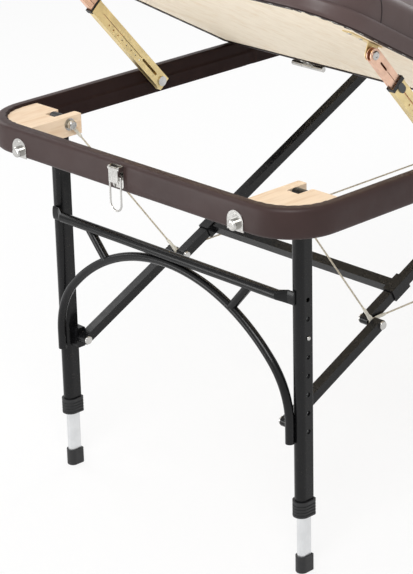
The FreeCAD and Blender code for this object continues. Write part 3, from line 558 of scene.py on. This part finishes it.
def swell(obj, held_below, most):
    """Puffs a pad by a cloth simulation, but moves no point further than most."""
    rest = [v.co.copy() for v in obj.data.vertices]
    group = obj.vertex_groups.new(name="held")
    group.add([v.index for v in obj.data.vertices if v.co.z < held_below], 1.0, "REPLACE")
    cloth = obj.modifiers.new("cloth", "CLOTH")
    settings = cloth.settings
    settings.quality = 4
    settings.mass = 0.3
    settings.tension_stiffness = 22
    settings.compression_stiffness = 22
    settings.bending_stiffness = 4
    settings.use_pressure = True
    settings.uniform_pressure_force = 4.0
    settings.vertex_group_mass = "held"
    settings.effector_weights.gravity = 0.0
    scene = bpy.context.scene
    for at in range(1, SWELL_FRAMES + 1):
        scene.frame_set(at)
    swelled = obj.evaluated_get(bpy.context.evaluated_depsgraph_get())
    ends = [v.co.copy() for v in swelled.to_mesh().vertices]
    swelled.to_mesh_clear()
    obj.modifiers.remove(cloth)
    scene.frame_set(1)
    for vertex, a, b in zip(obj.data.vertices, rest, ends):
        move = b - a
        vertex.co = a + move * min(1.0, most / max(move.length, 1e-9))
    obj.vertex_groups.clear()


def pad_solid(name, x_end, x_hinge, corner, lean):
    """Closed pad in its lying place: rounded plan, soft upper edge, end at the hinge leaned back."""
    section = [(0.0, 0.0)]
    for a in steps(0, 90, PAD_EDGE_STEP):
        across, up = polar(PAD_EDGE, a)
        section.append((PAD_EDGE - across, PAD_HEIGHT - PAD_EDGE + up))
    base = outline(x_end + PAD_INSET, x_hinge, HALF_WIDTH - PAD_INSET, corner, PAD_STEP)
    rings = []
    for u, z in section:
        x_front = x_end + PAD_INSET + u
        x_back = x_hinge - lean * z / PAD_HEIGHT - (LEANED_EDGE_SHARE * u if lean else u)
        side = HALF_WIDTH - PAD_INSET - u
        ring = []
        for p, inward in base:
            spot = p + inward * u if corner > PAD_EDGE else p
            x = min(max(spot.x, x_front), x_back)
            y = min(max(spot.y, -side), side)
            ring.append(Vector((x, y, BOARD_TOP + z)))
        rings.append(ring)
    bm = bmesh.new()
    loft(bm, rings)
    return to_mesh(bm, name)


def make_pad(name, node, body, x_end, x_hinge, corner, lean=0.0, far=False, lift=False):
    """Cushion in place of a pad's node, mirrored for the far half or lifted with the panel."""
    obj = bpy.data.objects.new(name, pad_solid(name, x_end, x_hinge, corner, lean))
    bpy.context.scene.collection.objects.link(obj)
    remesh = obj.modifiers.new("remesh", "REMESH")
    remesh.mode = "VOXEL"
    remesh.voxel_size = PAD_VOXEL
    graph = bpy.context.evaluated_depsgraph_get()
    obj.data = bpy.data.meshes.new_from_object(obj.evaluated_get(graph))
    obj.modifiers.clear()
    swell(obj, BOARD_TOP + SWELL_HELD, SWELL_MOST)
    for vertex in obj.data.vertices:
        co = vertex.co
        if co.z > BOARD_TOP + PAD_WAVE_FROM:
            co.z += noise.noise(co * PAD_WAVES_PER_METRE) * PAD_WAVE
        x_back = x_hinge - lean * (co.z - BOARD_TOP) / PAD_HEIGHT * LEAN_SHARE - HINGE_CLEARANCE
        co.x = min(co.x, x_back)
        co.z = max(co.z, BOARD_TOP)
    bm = bmesh.new()
    bm.from_mesh(obj.data)
    for _ in range(PAD_SMOOTHINGS):
        bmesh.ops.smooth_vert(bm, verts=bm.verts, factor=PAD_SMOOTHING,
                              use_axis_x=True, use_axis_y=True, use_axis_z=True)
    if lift:
        bmesh.ops.transform(bm, matrix=LIFT, verts=bm.verts)
    bpy.data.objects.remove(obj)
    # The cushion takes the lighter copy of the vinyl as painted light.
    cushion = piece(name, to_mesh(bm, name, far), LIT_VINYL, body)
    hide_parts(node)
    return cushion


# Seams on the lifting pad: each runs up the side and curves in over the top
SEAM_BEHIND_PIN, SEAM_SWEEP = 0.440, 0.055
SEAM_OUT, SEAM_IN, SEAM_RISE = 0.01, 0.05, 0.075
SEAM_STEP = 0.02
THREAD_R, THREAD_SIDES, THREAD_LIFT = 0.0007, 6, 0.2


def make_seams(cushion):
    """Sewn lines laid on a pad: their points are dropped onto the pad's nearest skin."""
    tree = BVHTree.FromObject(cushion, bpy.context.evaluated_depsgraph_get())
    from_pad = cushion.matrix_world.copy()
    to_pad = from_pad.inverted()
    for side, word in ((-1, "right"), (1, "left")):
        path = []
        for t in steps(0.0, 1.0, SEAM_STEP):
            x = BACK_PIN.x - SEAM_BEHIND_PIN - SEAM_SWEEP * t * t
            y = side * (HALF_WIDTH + SEAM_OUT - SEAM_IN * t * t)
            mark = LIFT @ Vector((x, y, BOARD_TOP + SEAM_RISE * t))
            spot, normal, _, _ = tree.find_nearest(to_pad @ mark)
            path.append(from_pad @ (spot + normal * THREAD_R * THREAD_LIFT))
        bm = bmesh.new()
        tube(bm, path, lambda s, a: THREAD_R, THREAD_SIDES)
        name = f"back_seam_{word}"
        piece(name, to_mesh(bm, name), THREAD, "back_panel")


# Vinyl over the boards' edges: (inward, height) from the pad down to the board's lower edge
EDGE_LOW, EDGE_ROW = BOARD_TOP - 0.0116, 0.006
EDGE_SECTION = ((0.0005, BOARD_TOP + 0.011), (-0.0006, BOARD_TOP + EDGE_ROW), (-0.0006, BOARD_TOP),
                (-0.0005, BOARD_TOP - EDGE_ROW), (-0.0004, EDGE_LOW))
END_SECTION = ((0.0003, BOARD_TOP + 0.004), (-0.00015, BOARD_TOP), (-0.00015, BOARD_TOP - EDGE_ROW),
               (-0.00015, EDGE_LOW))
STRIP_STEP, STRIP_THICK = 0.010, 0.00015


def skin(bm, path, section):
    """Open skin of a section carried along an outline."""
    loft(bm, [[Vector((at.x + inward.x * u, at.y + inward.y * u, z)) for u, z in section]
              for at, inward in path], closed_ring=False)


def strip_piece(name, bm, half):
    """Thin vinyl piece on one half's frame."""
    thicken(bm, STRIP_THICK)
    # Edge strips take the lighter copy of the vinyl as painted light.
    return piece(name, to_mesh(bm, name, half == "far"), LIT_VINYL, f"{half}_frame")


def make_edges():
    """Edge strips of the two boards that lie on the rims."""
    bm = bmesh.new()
    skin(bm, outline(-END_X, -MID_GAP, HALF_WIDTH, CORNER, STRIP_STEP), EDGE_SECTION)
    strip = strip_piece("far_edge_strip", bm, "far")
    bm = bmesh.new()
    for side in (-1, 1):
        xs = steps(MIDDLE_END, -MID_GAP, STRIP_STEP)
        skin(bm, [(Vector((x, side * HALF_WIDTH)), Vector((0, -side))) for x in xs], EDGE_SECTION)
    ys = steps(-HALF_WIDTH, HALF_WIDTH, STRIP_STEP)
    skin(bm, [(Vector((MIDDLE_END, y)), Vector((1, 0))) for y in ys], END_SECTION)
    strip = strip_piece("middle_edge_strip", bm, "near")


# Vinyl turned over the edge of the lifting board and stapled under it
TURNED, TURNED_Z, TURNED_MIDDLE_Z = 0.020, RIM_TOP - 0.0005, RIM_TOP - 0.0006
TURNED_WAVES, SIDE_WAVE, END_WAVE = 21.0, 0.003, 0.002
SIDE_TURN_FROM, SIDE_TURN_MIDDLE = 0.0004, 0.55
END_TURN_FROM, END_TURN_MIDDLE = 0.0006, 0.5
SCALLOP, SCALLOP_PITCH = 0.005, 0.024
WRAP_STEP, WRAP_END_STEP, WRAP_THICK = 0.006, 0.008, 0.0002
END_OUT, END_NOISE_X = 0.00025, 0.3
STAPLE_PITCH, STAPLES_FROM, STAPLE_IN = 0.034, 0.03, 0.0095
STAPLE_Z, STAPLE_R, STAPLE_SIDES = RIM_TOP - 0.0007, 0.0004, 6
STAPLE_HALF, STAPLE_SPREAD, STAPLE_LEG = 0.0046, 0.0048, 0.0016


def lifted_end(z):
    """X of the lifting board's slanted end at a height, lying."""
    return BACK_BOARD_END - max(0.0, z - RIM_TOP) * BACK_LEAN / PAD_HEIGHT


def turned_under(turn_from, middle_share, width):
    """(inward, height) under the board, from its edge to the vinyl's cut edge."""
    return (turn_from, TURNED_Z), (width * middle_share, TURNED_MIDDLE_Z), (width, TURNED_Z)


def wrap_sides(bm):
    """Skin along the board's sides and rounded end."""
    rows = []
    for gone, at, inward in walk(outline(-END_X, BACK_BOARD_END, HALF_WIDTH, CORNER, WRAP_STEP)):
        width = TURNED + noise.noise(Vector((at.x, at.y, 0)) * TURNED_WAVES) * SIDE_WAVE
        if in_bend(inward):
            width += SCALLOP * math.sin(gone * 2 * math.pi / SCALLOP_PITCH)
        under = turned_under(SIDE_TURN_FROM, SIDE_TURN_MIDDLE, width)
        rows.append([Vector((min(at.x + inward.x * u, lifted_end(z)), at.y + inward.y * u, z))
                     for u, z in EDGE_SECTION + under])
    loft(bm, rows, closed_ring=False)


def wrap_end(bm):
    """Skin over the slanted end at the hinge."""
    rows = []
    for y in steps(-HALF_WIDTH, HALF_WIDTH, WRAP_END_STEP):
        width = TURNED + noise.noise(Vector((END_NOISE_X, y * TURNED_WAVES, 0.0))) * END_WAVE
        down = [Vector((lifted_end(z) + END_OUT, y, z)) for z in (BOARD_TOP + EDGE_ROW, BOARD_TOP, EDGE_LOW)]
        under = turned_under(END_TURN_FROM, END_TURN_MIDDLE, width)
        rows.append(down + [Vector((BACK_BOARD_END - u, y, z)) for u, z in under])
    loft(bm, rows, closed_ring=False)


def make_wrap():
    """Vinyl round the lifting board, in the lighter copy that is painted light, with painted shade on its
    underside.
    """
    bm = bmesh.new()
    wrap_sides(bm)
    wrap_end(bm)
    bmesh.ops.transform(bm, matrix=LIFT, verts=bm.verts)
    thicken(bm, WRAP_THICK)
    wrap = piece("back_edge_wrap", to_mesh(bm, "back_edge_wrap"), LIT_VINYL, "back_panel")
    # The turned vinyl under the board takes the darker copy as painted shade.
    wrap.data.materials.append(SHADED_VINYL)
    lie = LIFT.inverted()
    for polygon in wrap.data.polygons:
        if (lie @ polygon.center).z < RIM_TOP:
            polygon.material_index = 1


def make_staples():
    """Wire staples along the turned vinyl."""
    bm = bmesh.new()
    leg = Vector((0, 0, STAPLE_LEG))
    for at, inward in outline(-END_X, BACK_PIN.x - STAPLES_FROM, HALF_WIDTH, CORNER, STAPLE_PITCH)[1:]:
        along = Vector((-inward.y, inward.x, 0))
        middle = Vector((at.x + inward.x * STAPLE_IN, at.y + inward.y * STAPLE_IN, STAPLE_Z))
        tube(bm, [middle - along * STAPLE_SPREAD + leg, middle - along * STAPLE_HALF,
                  middle + along * STAPLE_HALF, middle + along * STAPLE_SPREAD + leg],
             lambda s, a: STAPLE_R, STAPLE_SIDES)
    bmesh.ops.transform(bm, matrix=LIFT, verts=bm.verts)
    piece("back_staples", to_mesh(bm, "back_staples"), STAPLE, "back_panel")


# Cables: twisted wire with a pale sleeve and an eye at the bolts
CABLE_Y, PIVOT_EYE_Y = 0.218, 0.2329
WIRE_R, STRANDS, STRAND_DEPTH, STRAND_TWIST = 0.00125, 6, 0.13, 420.0
WIRE_STEP, WIRE_SIDES, WIRE_FROM = 0.0012, 12, 0.006
SLEEVE_R, SLEEVE_END_SHARE, SLEEVE_ROUND = 0.0027, 0.72, 0.004
SLEEVE_STEP, SLEEVE_SIDES = 0.0015, 14
SLEEVE_FROM, SLEEVE_TO, KNEE_SLEEVE_TO = 0.0065, 0.030, 0.036
FLARE, FLARE_LENGTH = 0.0018, 0.012
EYE_R, EYE_WIRE_R, EYE_HALF_WIDTH = 0.0056, 0.0012, 0.0020
EYE_STEP, EYE_WIRE_STEP = 12, 30
RUN_RISE = 0.0042


def strand(s, a):
    """Radius of the twisted wire at a distance and an angle."""
    return WIRE_R * (1 + STRAND_DEPTH * abs(math.cos(STRANDS / 2 * a + s * STRAND_TWIST)))


def add_sleeve(bm, a, b, flare=0.0):
    """Sleeve from a to b with rounded ends; flare widens its last part."""
    length = (b - a).length

    def radius(s, _):
        end = min(s, length - s)
        rounded = min(1.0, SLEEVE_END_SHARE + end / SLEEVE_ROUND * (1 - SLEEVE_END_SHARE))
        return SLEEVE_R * rounded + flare * max(0.0, 1 - (length - s) / FLARE_LENGTH)

    tube(bm, line(a, b, SLEEVE_STEP), radius, SLEEVE_SIDES)


def add_eye(bm, centre):
    """Ring of wire round a bolt."""
    rings = []
    for a in full_turn(EYE_STEP):
        x, z = polar(1.0, a)
        out = Vector((x, 0, z))
        ring = []
        for b in full_turn(EYE_WIRE_STEP):
            across, up = polar(1.0, b)
            ring.append(centre + out * (EYE_R + EYE_WIRE_R * across) + Vector((0, EYE_HALF_WIDTH * up, 0)))
        rings.append(ring)
    loft(bm, rings, closed_path=True)


def make_cables(half):
    """Cables of one half: from each leg pivot to the knee, and from the knee to the hinge plane."""
    far = half == "far"
    wires, sleeves, run, run_sleeves = (bmesh.new() for _ in range(4))
    for side in (-1, 1):
        pivot = Vector((LEG_PIVOT.x, side * PIVOT_EYE_Y, LEG_PIVOT.z))
        knee = Vector((KNEE_X, side * CABLE_Y, KNEE_Z))
        way = (knee - pivot).normalized()
        tube(wires, line(pivot + way * WIRE_FROM, knee - way * WIRE_FROM, WIRE_STEP), strand, WIRE_SIDES)
        add_sleeve(sleeves, pivot + way * SLEEVE_FROM, pivot + way * SLEEVE_TO)
        add_sleeve(sleeves, knee - way * KNEE_SLEEVE_TO, knee - way * SLEEVE_FROM, FLARE)
        add_eye(wires, pivot)
        add_eye(wires, knee)
        run_from = knee + Vector((0, 0, RUN_RISE))
        run_to = Vector((-MID_GAP, run_from.y, run_from.z))
        tube(run, line(run_from, run_to, WIRE_STEP), strand, WIRE_SIDES)
        add_sleeve(run_sleeves, run_from + Vector((SLEEVE_FROM, 0, 0)), run_from + Vector((SLEEVE_TO, 0, 0)))
    for name, bm, material in (("leg_cables", wires, ROPE), ("leg_cable_sleeves", sleeves, SLEEVE)):
        obj = piece(f"{half}_{name}", to_mesh(bm, name, far), material)
        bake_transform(obj)
        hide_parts(f"{half}_cables")
    for name, bm, material in (("knee_cables", run, ROPE), ("knee_cable_sleeves", run_sleeves, SLEEVE)):
        obj = piece(f"{half}_{name}", to_mesh(bm, name, far), material, f"{half}_frame")
        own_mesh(obj)
        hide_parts(f"{half}_cables")


# Ratchet struts: places along a strut are from its foot, heights from its middle line
STRUT_REACH, STRUT_HALF, STRUT_WALL, STRUT_TAIL = 0.206, 0.012, 0.0015, 0.0095
STRUT_PLAY = 0.0003
WIDE_SLOT_FROM, WIDE_SLOT_TO, WIDE_SLOT_HALF = 0.017, 0.062, 0.0024
HOLE_R, HOLE_UP, HOLES_FROM, HOLES_TO, HOLE_PITCH = 0.0018, 0.0052, 0.0665, 0.162, 0.0136
THIN_SLOT_FROM, THIN_SLOT_UP = 0.064, -0.0004
INNER_SLOT_TO, INNER_SLOT_HALF = 0.186, 0.0008
OUTER_SLOT_TO, OUTER_SLOT_HALF = 0.200, 0.0013
SLIDE_LENGTH, SLIDE_HALF = 0.150, 0.0102
SHORT_SLOT_FROM, SHORT_SLOT_TO, SHORT_SLOT_HALF = 0.036, 0.016, 0.0019
LONG_SLOT_FROM, LONG_SLOT_TO, LONG_SLOT_HALF = 0.010, 0.038, 0.0006
SLIDE_IN, SLIDE_OUT = STRUT_IN + STRUT_WALL + STRUT_PLAY, STRUT_OUT - STRUT_WALL - STRUT_PLAY
OUTER_RIVET_R, OUTER_RIVET_HIGH = 0.0066, 0.0022
INNER_RIVET_R, INNER_RIVET_HIGH = 0.0052, 0.0030
CLIP_LENGTH, CLIP_HALF, CLIP_WALL, CLIP_INSET, CLIP_GAP = 0.007, 0.0134, 0.0014, 0.001, 0.0001
LIP_FROM, LIP_WALL, LIP_HALF, LIP_EASE = 0.0002, 0.0006, 0.0124, 0.0002
THUMB_LENGTH, THUMB_END, THUMB_HALF, THUMB_UP = 0.018, 0.001, 0.0055, -0.001
THUMB_LOW, THUMB_HIGH = 0.0003, 0.0022
EAR_R, EAR_TOP_HALF, EAR_GAP = 0.0092, 0.012, 0.0006
BRACKET_BACK, BRACKET_FRONT, BRACKET_WIDE = 0.052, 0.020, 0.018
STRUT_ARC_STEP, SLOT_ARC_STEP = 15, 30
PLATE_BEVEL, BEAM_EASE = 0.00025, 0.0004
# (share of the radius, share of the height) from the rim over the dome into the dimple
RIVET_SECTION = ((1.0, 0.0), (1.0, 0.55), (0.88, 0.9), (0.66, 1.0), (0.44, 0.95), (0.36, 0.6), (0.12, 0.5))


def strut_space(side):
    """Frame of a strut: X along it, Y outward, Z across it."""
    along = (STRUT_EYE - STRUT_FOOT).normalized()
    space = Matrix((along, (0, side, 0), (-along.z, 0, along.x))).transposed().to_4x4()
    space.translation = STRUT_FOOT
    return space


def arc_points(x, z, radius, first, last, size):
    """Points of an arc in a plate's own plane, from the first to the last angle."""
    turned = [polar(radius, a) for a in steps(first, last, size)]
    return [(x + across, z + up) for across, up in turned]


def round_slot(x0, x1, z, half):
    """Loop of a slot with round ends, in a plate's own plane."""
    return (arc_points(x1 - half, z, half, -90, 90, SLOT_ARC_STEP)
            + arc_points(x0 + half, z, half, 90, 270, SLOT_ARC_STEP))


def plate(bm, loops, low, high, space):
    """Flat plate between two depths: the first loop is its edge, the others are cut out."""
    curve = bpy.data.curves.new("plate", "CURVE")
    curve.dimensions = "2D"
    curve.fill_mode = "BOTH"
    curve.bevel_depth = PLATE_BEVEL
    curve.extrude = (high - low) / 2 - curve.bevel_depth
    for loop in loops:
        spline = curve.splines.new("POLY")
        spline.points.add(len(loop) - 1)
        spline.use_cyclic_u = True
        for point, (x, z) in zip(spline.points, loop):
            point.co = (x, z, 0, 1)
    obj = bpy.data.objects.new("plate", curve)
    bpy.context.scene.collection.objects.link(obj)
    mesh = bpy.data.meshes.new_from_object(obj.evaluated_get(bpy.context.evaluated_depsgraph_get()))
    bpy.data.objects.remove(obj)
    mesh.transform(space @ Matrix(((1, 0, 0, 0), (0, 0, 1, (low + high) / 2), (0, 1, 0, 0), (0, 0, 0, 1))))
    bm.from_mesh(mesh)


def beam(bm, xs, ys, zs, space, ease=BEAM_EASE):
    """Straight bar with eased edges, from (low, high) pairs."""
    (y0, y1), (z0, z1) = ys, zs
    section = [(y0 + ease, z0), (y1 - ease, z0), (y1, z0 + ease), (y1, z1 - ease),
               (y1 - ease, z1), (y0 + ease, z1), (y0, z1 - ease), (y0, z0 + ease)]
    loft(bm, [[space @ Vector((x, y, z)) for y, z in section] for x in xs])


def rivet(bm, x, y0, y1, radius, space):
    """Domed head with a dimple, from depth y0 out to y1."""
    rings = []
    for share, out in RIVET_SECTION:
        y = y0 + (y1 - y0) * out
        turned = [polar(radius * share, a) for a in full_turn(STRUT_ARC_STEP)]
        rings.append([space @ Vector((x + across, y, up)) for across, up in turned])
    loft(bm, rings)


def strut_tube(bm, space):
    """Closed flat tube with a wide lower slot, a row of holes and a thin slot."""
    edge = [(-STRUT_TAIL, -STRUT_HALF), (STRUT_REACH, -STRUT_HALF), (STRUT_REACH, STRUT_HALF),
            (-STRUT_TAIL, STRUT_HALF)]
    loops = [edge, round_slot(WIDE_SLOT_FROM, WIDE_SLOT_TO, 0.0, WIDE_SLOT_HALF)]
    for x in steps(HOLES_FROM, HOLES_TO, HOLE_PITCH):
        loops.append(round_slot(x - HOLE_R, x + HOLE_R, HOLE_UP, HOLE_R))
    for low, slot_to, slot_half in ((STRUT_IN, INNER_SLOT_TO, INNER_SLOT_HALF),
                                    (STRUT_OUT - STRUT_WALL, OUTER_SLOT_TO, OUTER_SLOT_HALF)):
        slot = round_slot(THIN_SLOT_FROM, slot_to, THIN_SLOT_UP, slot_half)
        plate(bm, loops + [slot], low, low + STRUT_WALL, space)
    for z in (-STRUT_HALF, STRUT_HALF - STRUT_WALL):
        beam(bm, (-STRUT_TAIL, STRUT_REACH), (STRUT_IN + STRUT_PLAY, STRUT_OUT - STRUT_PLAY),
             (z, z + STRUT_WALL), space)


def strut_slide(bm, rivets, space):
    """Inner tube with a round end at the eye, two slots and a rivet on each face."""
    x0 = STRUT_LONG - SLIDE_LENGTH
    tip = arc_points(STRUT_LONG, 0.0, SLIDE_HALF, -90, 90, STRUT_ARC_STEP)
    loops = [[(x0, -SLIDE_HALF)] + tip + [(x0, SLIDE_HALF)],
             round_slot(STRUT_LONG - SHORT_SLOT_FROM, STRUT_LONG - SHORT_SLOT_TO, 0.0, SHORT_SLOT_HALF),
             round_slot(x0 + LONG_SLOT_FROM, STRUT_LONG - LONG_SLOT_TO, 0.0, LONG_SLOT_HALF)]
    plate(bm, loops, SLIDE_IN, SLIDE_IN + STRUT_WALL, space)
    plate(bm, loops, SLIDE_OUT - STRUT_WALL, SLIDE_OUT, space)
    for z in (-SLIDE_HALF, SLIDE_HALF - STRUT_WALL):
        beam(bm, (x0, STRUT_LONG), (SLIDE_IN + STRUT_PLAY, SLIDE_OUT - STRUT_PLAY),
             (z, z + STRUT_WALL), space)
    rivet(rivets, STRUT_LONG, SLIDE_OUT, SLIDE_OUT + OUTER_RIVET_HIGH, OUTER_RIVET_R, space)
    rivet(rivets, STRUT_LONG, SLIDE_IN, SLIDE_IN - INNER_RIVET_HIGH, INNER_RIVET_R, space)


def strut_clip(bm, thumbs, space):
    """Clip round the tube's end, with a thin inner lip and a thumb piece on the outer face."""
    xs = (STRUT_REACH - CLIP_LENGTH / 2, STRUT_REACH + CLIP_LENGTH / 2)
    inside = STRUT_IN + CLIP_INSET
    for z in (-CLIP_HALF, CLIP_HALF - CLIP_WALL):
        beam(bm, xs, (inside, STRUT_OUT + CLIP_WALL), (z, z + CLIP_WALL), space)
    outside = STRUT_OUT + CLIP_GAP
    beam(bm, xs, (outside, outside + CLIP_WALL), (-CLIP_HALF, CLIP_HALF), space)
    beam(bm, (STRUT_REACH + LIP_FROM, xs[1]), (inside, inside + LIP_WALL), (-LIP_HALF, LIP_HALF),
         space, LIP_EASE)
    thumb_to = STRUT_REACH - THUMB_END
    plate(thumbs, [round_slot(thumb_to - THUMB_LENGTH, thumb_to, THUMB_UP, THUMB_HALF)],
          STRUT_OUT + THUMB_LOW, STRUT_OUT + THUMB_HIGH, space)


def strut_bracket(bm, side):
    """Bracket under the board: an ear beside the eye and a foot for two screws."""
    space = LIFT @ Matrix.Translation(STRUT_EYE_FLAT) @ Matrix.Diagonal((1, side, 1, 1))
    top = RIM_TOP - STRUT_EYE_FLAT.z
    face = STRUT_IN - EAR_GAP
    skirt = arc_points(0.0, 0.0, EAR_R, 180, 360, STRUT_ARC_STEP)
    plate(bm, [skirt + [(EAR_TOP_HALF, top), (-EAR_TOP_HALF, top)]], face - SHEET_METAL, face, space)
    beam(bm, (-BRACKET_BACK, BRACKET_FRONT), (STRUT_IN - BRACKET_WIDE, face), (top - SHEET_METAL, top), space)


def make_struts():
    tubes, slides, rivets, clips, thumbs, brackets = (bmesh.new() for _ in range(6))
    for side in (-1, 1):
        space = strut_space(side)
        strut_tube(tubes, space)
        strut_slide(slides, rivets, space)
        strut_clip(clips, thumbs, space)
        strut_bracket(brackets, side)
    for name, bm, material, body, slot, node in (
            ("strut_tubes", tubes, GOLD, "strut_outer", "gold_zinc", "strut_channels"),
            ("strut_inner_slides", slides, ROSE, "strut_inner", "rose_zinc", "strut_slides"),
            ("strut_rivets", rivets, NICKEL, "strut_inner", "bright_nickel", "strut_slides"),
            ("strut_end_clips", clips, RUBBER, "strut_outer", "black_plastic", "strut_clips"),
            ("strut_thumbs", thumbs, THUMB, "strut_outer", "black_plastic", "strut_clips"),
            ("strut_ears", brackets, GOLD, "back_panel", "gold_zinc", "strut_brackets")):
        obj = piece(name, to_mesh(bm, name), material, body)
        for polygon in obj.data.polygons:
            polygon.use_smooth = False
        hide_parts(node)


# Screws with a cross recess
SCREW_RINGS = (1.0, 0.97, 0.85, 0.7, 0.55, 0.4, 0.25, 0.12)
SCREW_STEP, SCREW_DOME, SCREW_SINK = 15, 0.42, -0.05
CROSS_REACH, CROSS_HALF, CROSS_DEPTH = 0.6, 0.11, 0.22
HINGE_SCREW_R, BRACKET_SCREW_R, PLATE_SCREW_R = 0.0030, 0.0034, 0.0028
MID_HINGE_Y, MID_SCREW_X = 0.12, -0.011
BACK_HINGE_Y, BACK_SCREW_X = 0.15, 0.0115
BASE_SCREW_SHIFT, LEAF_SCREW_SHIFT = 0.024, 0.007
BRACKET_SCREW_Y, BRACKET_SCREWS = 0.306, (-0.044, -0.018)
PLATE_SCREW_Y, PLATE_SCREW_Z = 0.237, 0.5955


def screw(bm, at, normal, radius):
    """Domed head with a cross recess, facing along the normal."""
    turn = normal.to_track_quat("Z", "Y").to_matrix().to_4x4()
    turn.translation = at
    rings = []
    for share in SCREW_RINGS:
        ring = []
        for x, y in [polar(share, a) for a in full_turn(SCREW_STEP)]:
            z = SCREW_DOME * math.sqrt(1 - share * share) if share < 1 else SCREW_SINK
            if share < CROSS_REACH and min(abs(x), abs(y)) < CROSS_HALF:
                z -= CROSS_DEPTH
            ring.append(turn @ (Vector((x, y, z)) * radius))
        rings.append(ring)
    loft(bm, rings)


def make_screws():
    near, far, panel = (bmesh.new() for _ in range(3))
    down = Vector((0, 0, -1))
    under = (LIFT.to_3x3() @ down).normalized()
    leaf_z = RIM_TOP - SHEET_METAL
    for side in (-1, 1):
        for shift in (-BASE_SCREW_SHIFT, BASE_SCREW_SHIFT):
            screw(near, Vector((MID_SCREW_X, side * MID_HINGE_Y + shift, RIM_LOW)), down, HINGE_SCREW_R)
            at = Vector((BACK_PIN.x + BACK_SCREW_X, side * BACK_HINGE_Y + shift, leaf_z))
            screw(near, at, down, HINGE_SCREW_R)
        for shift in (-LEAF_SCREW_SHIFT, LEAF_SCREW_SHIFT):
            at = LIFT @ Vector((BACK_PIN.x - BACK_SCREW_X, side * BACK_HINGE_Y + shift, leaf_z))
            screw(panel, at, under, HINGE_SCREW_R)
        for shift in BRACKET_SCREWS:
            at = LIFT @ Vector((STRUT_EYE_FLAT.x + shift, side * BRACKET_SCREW_Y, leaf_z))
            screw(panel, at, under, BRACKET_SCREW_R)
        for end, bm in ((-1, near), (1, far)):
            at = Vector((end * (END_X + SHEET_METAL), side * PLATE_SCREW_Y, PLATE_SCREW_Z))
            screw(bm, at, Vector((end, 0, 0)), PLATE_SCREW_R)
    for body, bm in (("near_frame", near), ("far_frame", far), ("back_panel", panel)):
        name = f"{body}_screws"
        piece(name, to_mesh(bm, name), NICKEL, body)


# White floor, lamps and world
FLOOR_SIZE, FLOOR_PARTS, FLOOR_Z = 14.0, 4, -0.0005
FLOOR_TONE, FLOOR_ROUGH, FLOOR_GLOW = 0.92, 0.9, 0.82
SKY_STRENGTH = 0.5


def seen_ray(tree):
    """1 for camera, glossy and transmission rays."""
    rays = put(tree, "ShaderNodeLightPath")
    last = rays.outputs["Is Camera Ray"]
    for other in ("Is Glossy Ray", "Is Transmission Ray"):
        either = put(tree, "ShaderNodeMath", operation="MAXIMUM")
        tree.links.new(last, either.inputs[0])
        tree.links.new(rays.outputs[other], either.inputs[1])
        last = either.outputs[0]
    return last


def mix_shaders(tree, share, first, second, output):
    """Shows the first shader, and the second by its share."""
    mix = put(tree, "ShaderNodeMixShader")
    tree.links.new(share, mix.inputs[0])
    tree.links.new(first.outputs[0], mix.inputs[1])
    tree.links.new(second.outputs[0], mix.inputs[2])
    tree.links.new(mix.outputs[0], tree.nodes[output].inputs["Surface"])


def make_stage():
    """Floor that glows white where it is seen, and takes shadows."""
    material, tree, shader = start("floor")
    shader.inputs["Base Color"].default_value = (FLOOR_TONE, FLOOR_TONE, FLOOR_TONE, 1)
    shader.inputs["Roughness"].default_value = FLOOR_ROUGH
    glow = put(tree, "ShaderNodeEmission", Strength=1.0)
    share = put(tree, "ShaderNodeMath", operation="MULTIPLY")
    share.inputs[1].default_value = FLOOR_GLOW
    tree.links.new(seen_ray(tree), share.inputs[0])
    mix_shaders(tree, share.outputs[0], shader, glow, "Material Output")
    bm = bmesh.new()
    bmesh.ops.create_grid(bm, x_segments=FLOOR_PARTS, y_segments=FLOOR_PARTS, size=FLOOR_SIZE)
    floor = piece("floor", to_mesh(bm, "floor"), material)
    floor.location.z = FLOOR_Z


def add_lamp(name, at, target, size, power):
    data = bpy.data.lights.new(name, "AREA")
    data.shape = "DISK"
    data.size = size
    data.energy = power
    lamp = bpy.data.objects.new(name, data)
    bpy.context.scene.collection.objects.link(lamp)
    lamp.location = at
    lamp.rotation_euler = (Vector(target) - Vector(at)).to_track_quat("-Z", "Y").to_euler()


def light():
    """Lamps, and a world that lights softly but is seen white."""
    scene = bpy.context.scene
    scene.view_settings.view_transform = "Standard"
    world = bpy.data.worlds.new("world")
    scene.world = world
    world.use_nodes = True
    tree = world.node_tree
    sky = tree.nodes["Background"]
    sky.inputs["Color"].default_value = (1, 1, 1, 1)
    sky.inputs["Strength"].default_value = SKY_STRENGTH
    shown = put(tree, "ShaderNodeBackground", Strength=1.0)
    mix_shaders(tree, seen_ray(tree), sky, shown, "World Output")
    add_lamp("key", at=(-2.6, -1.4, 3.2), target=(-0.6, 0, 0.5), size=1.8, power=72)
    add_lamp("fill", at=(-1.0, 3.2, 2.2), target=(-0.5, 0, 0.5), size=2.2, power=28)
    add_lamp("back", at=(2.8, 0.6, 2.6), target=(0.2, 0, 0.5), size=2.0, power=40)
    add_lamp("low", at=(-2.6, 1.0, 0.35), target=(-0.7, 0, 0.8), size=1.2, power=15)


add_camera()
dress_nodes()
for half in ("near", "far"):
    make_cables(half)
for half in ("near", "far"):
    make_rim(half)
make_pad("far_cushion", "far_pad", "far_frame", -END_X, -MID_GAP, CORNER, far=True)
make_pad("middle_cushion", "middle_pad", "near_frame", MIDDLE_END, -MID_GAP, SQUARE_CORNER)
back_cushion = make_pad("back_cushion", "back_pad", "back_panel", -END_X, BACK_PAD_END, CORNER,
                        lean=BACK_LEAN, lift=True)
make_seams(back_cushion)
make_edges()
make_wrap()
make_staples()
make_struts()
make_screws()
make_stage()
light()
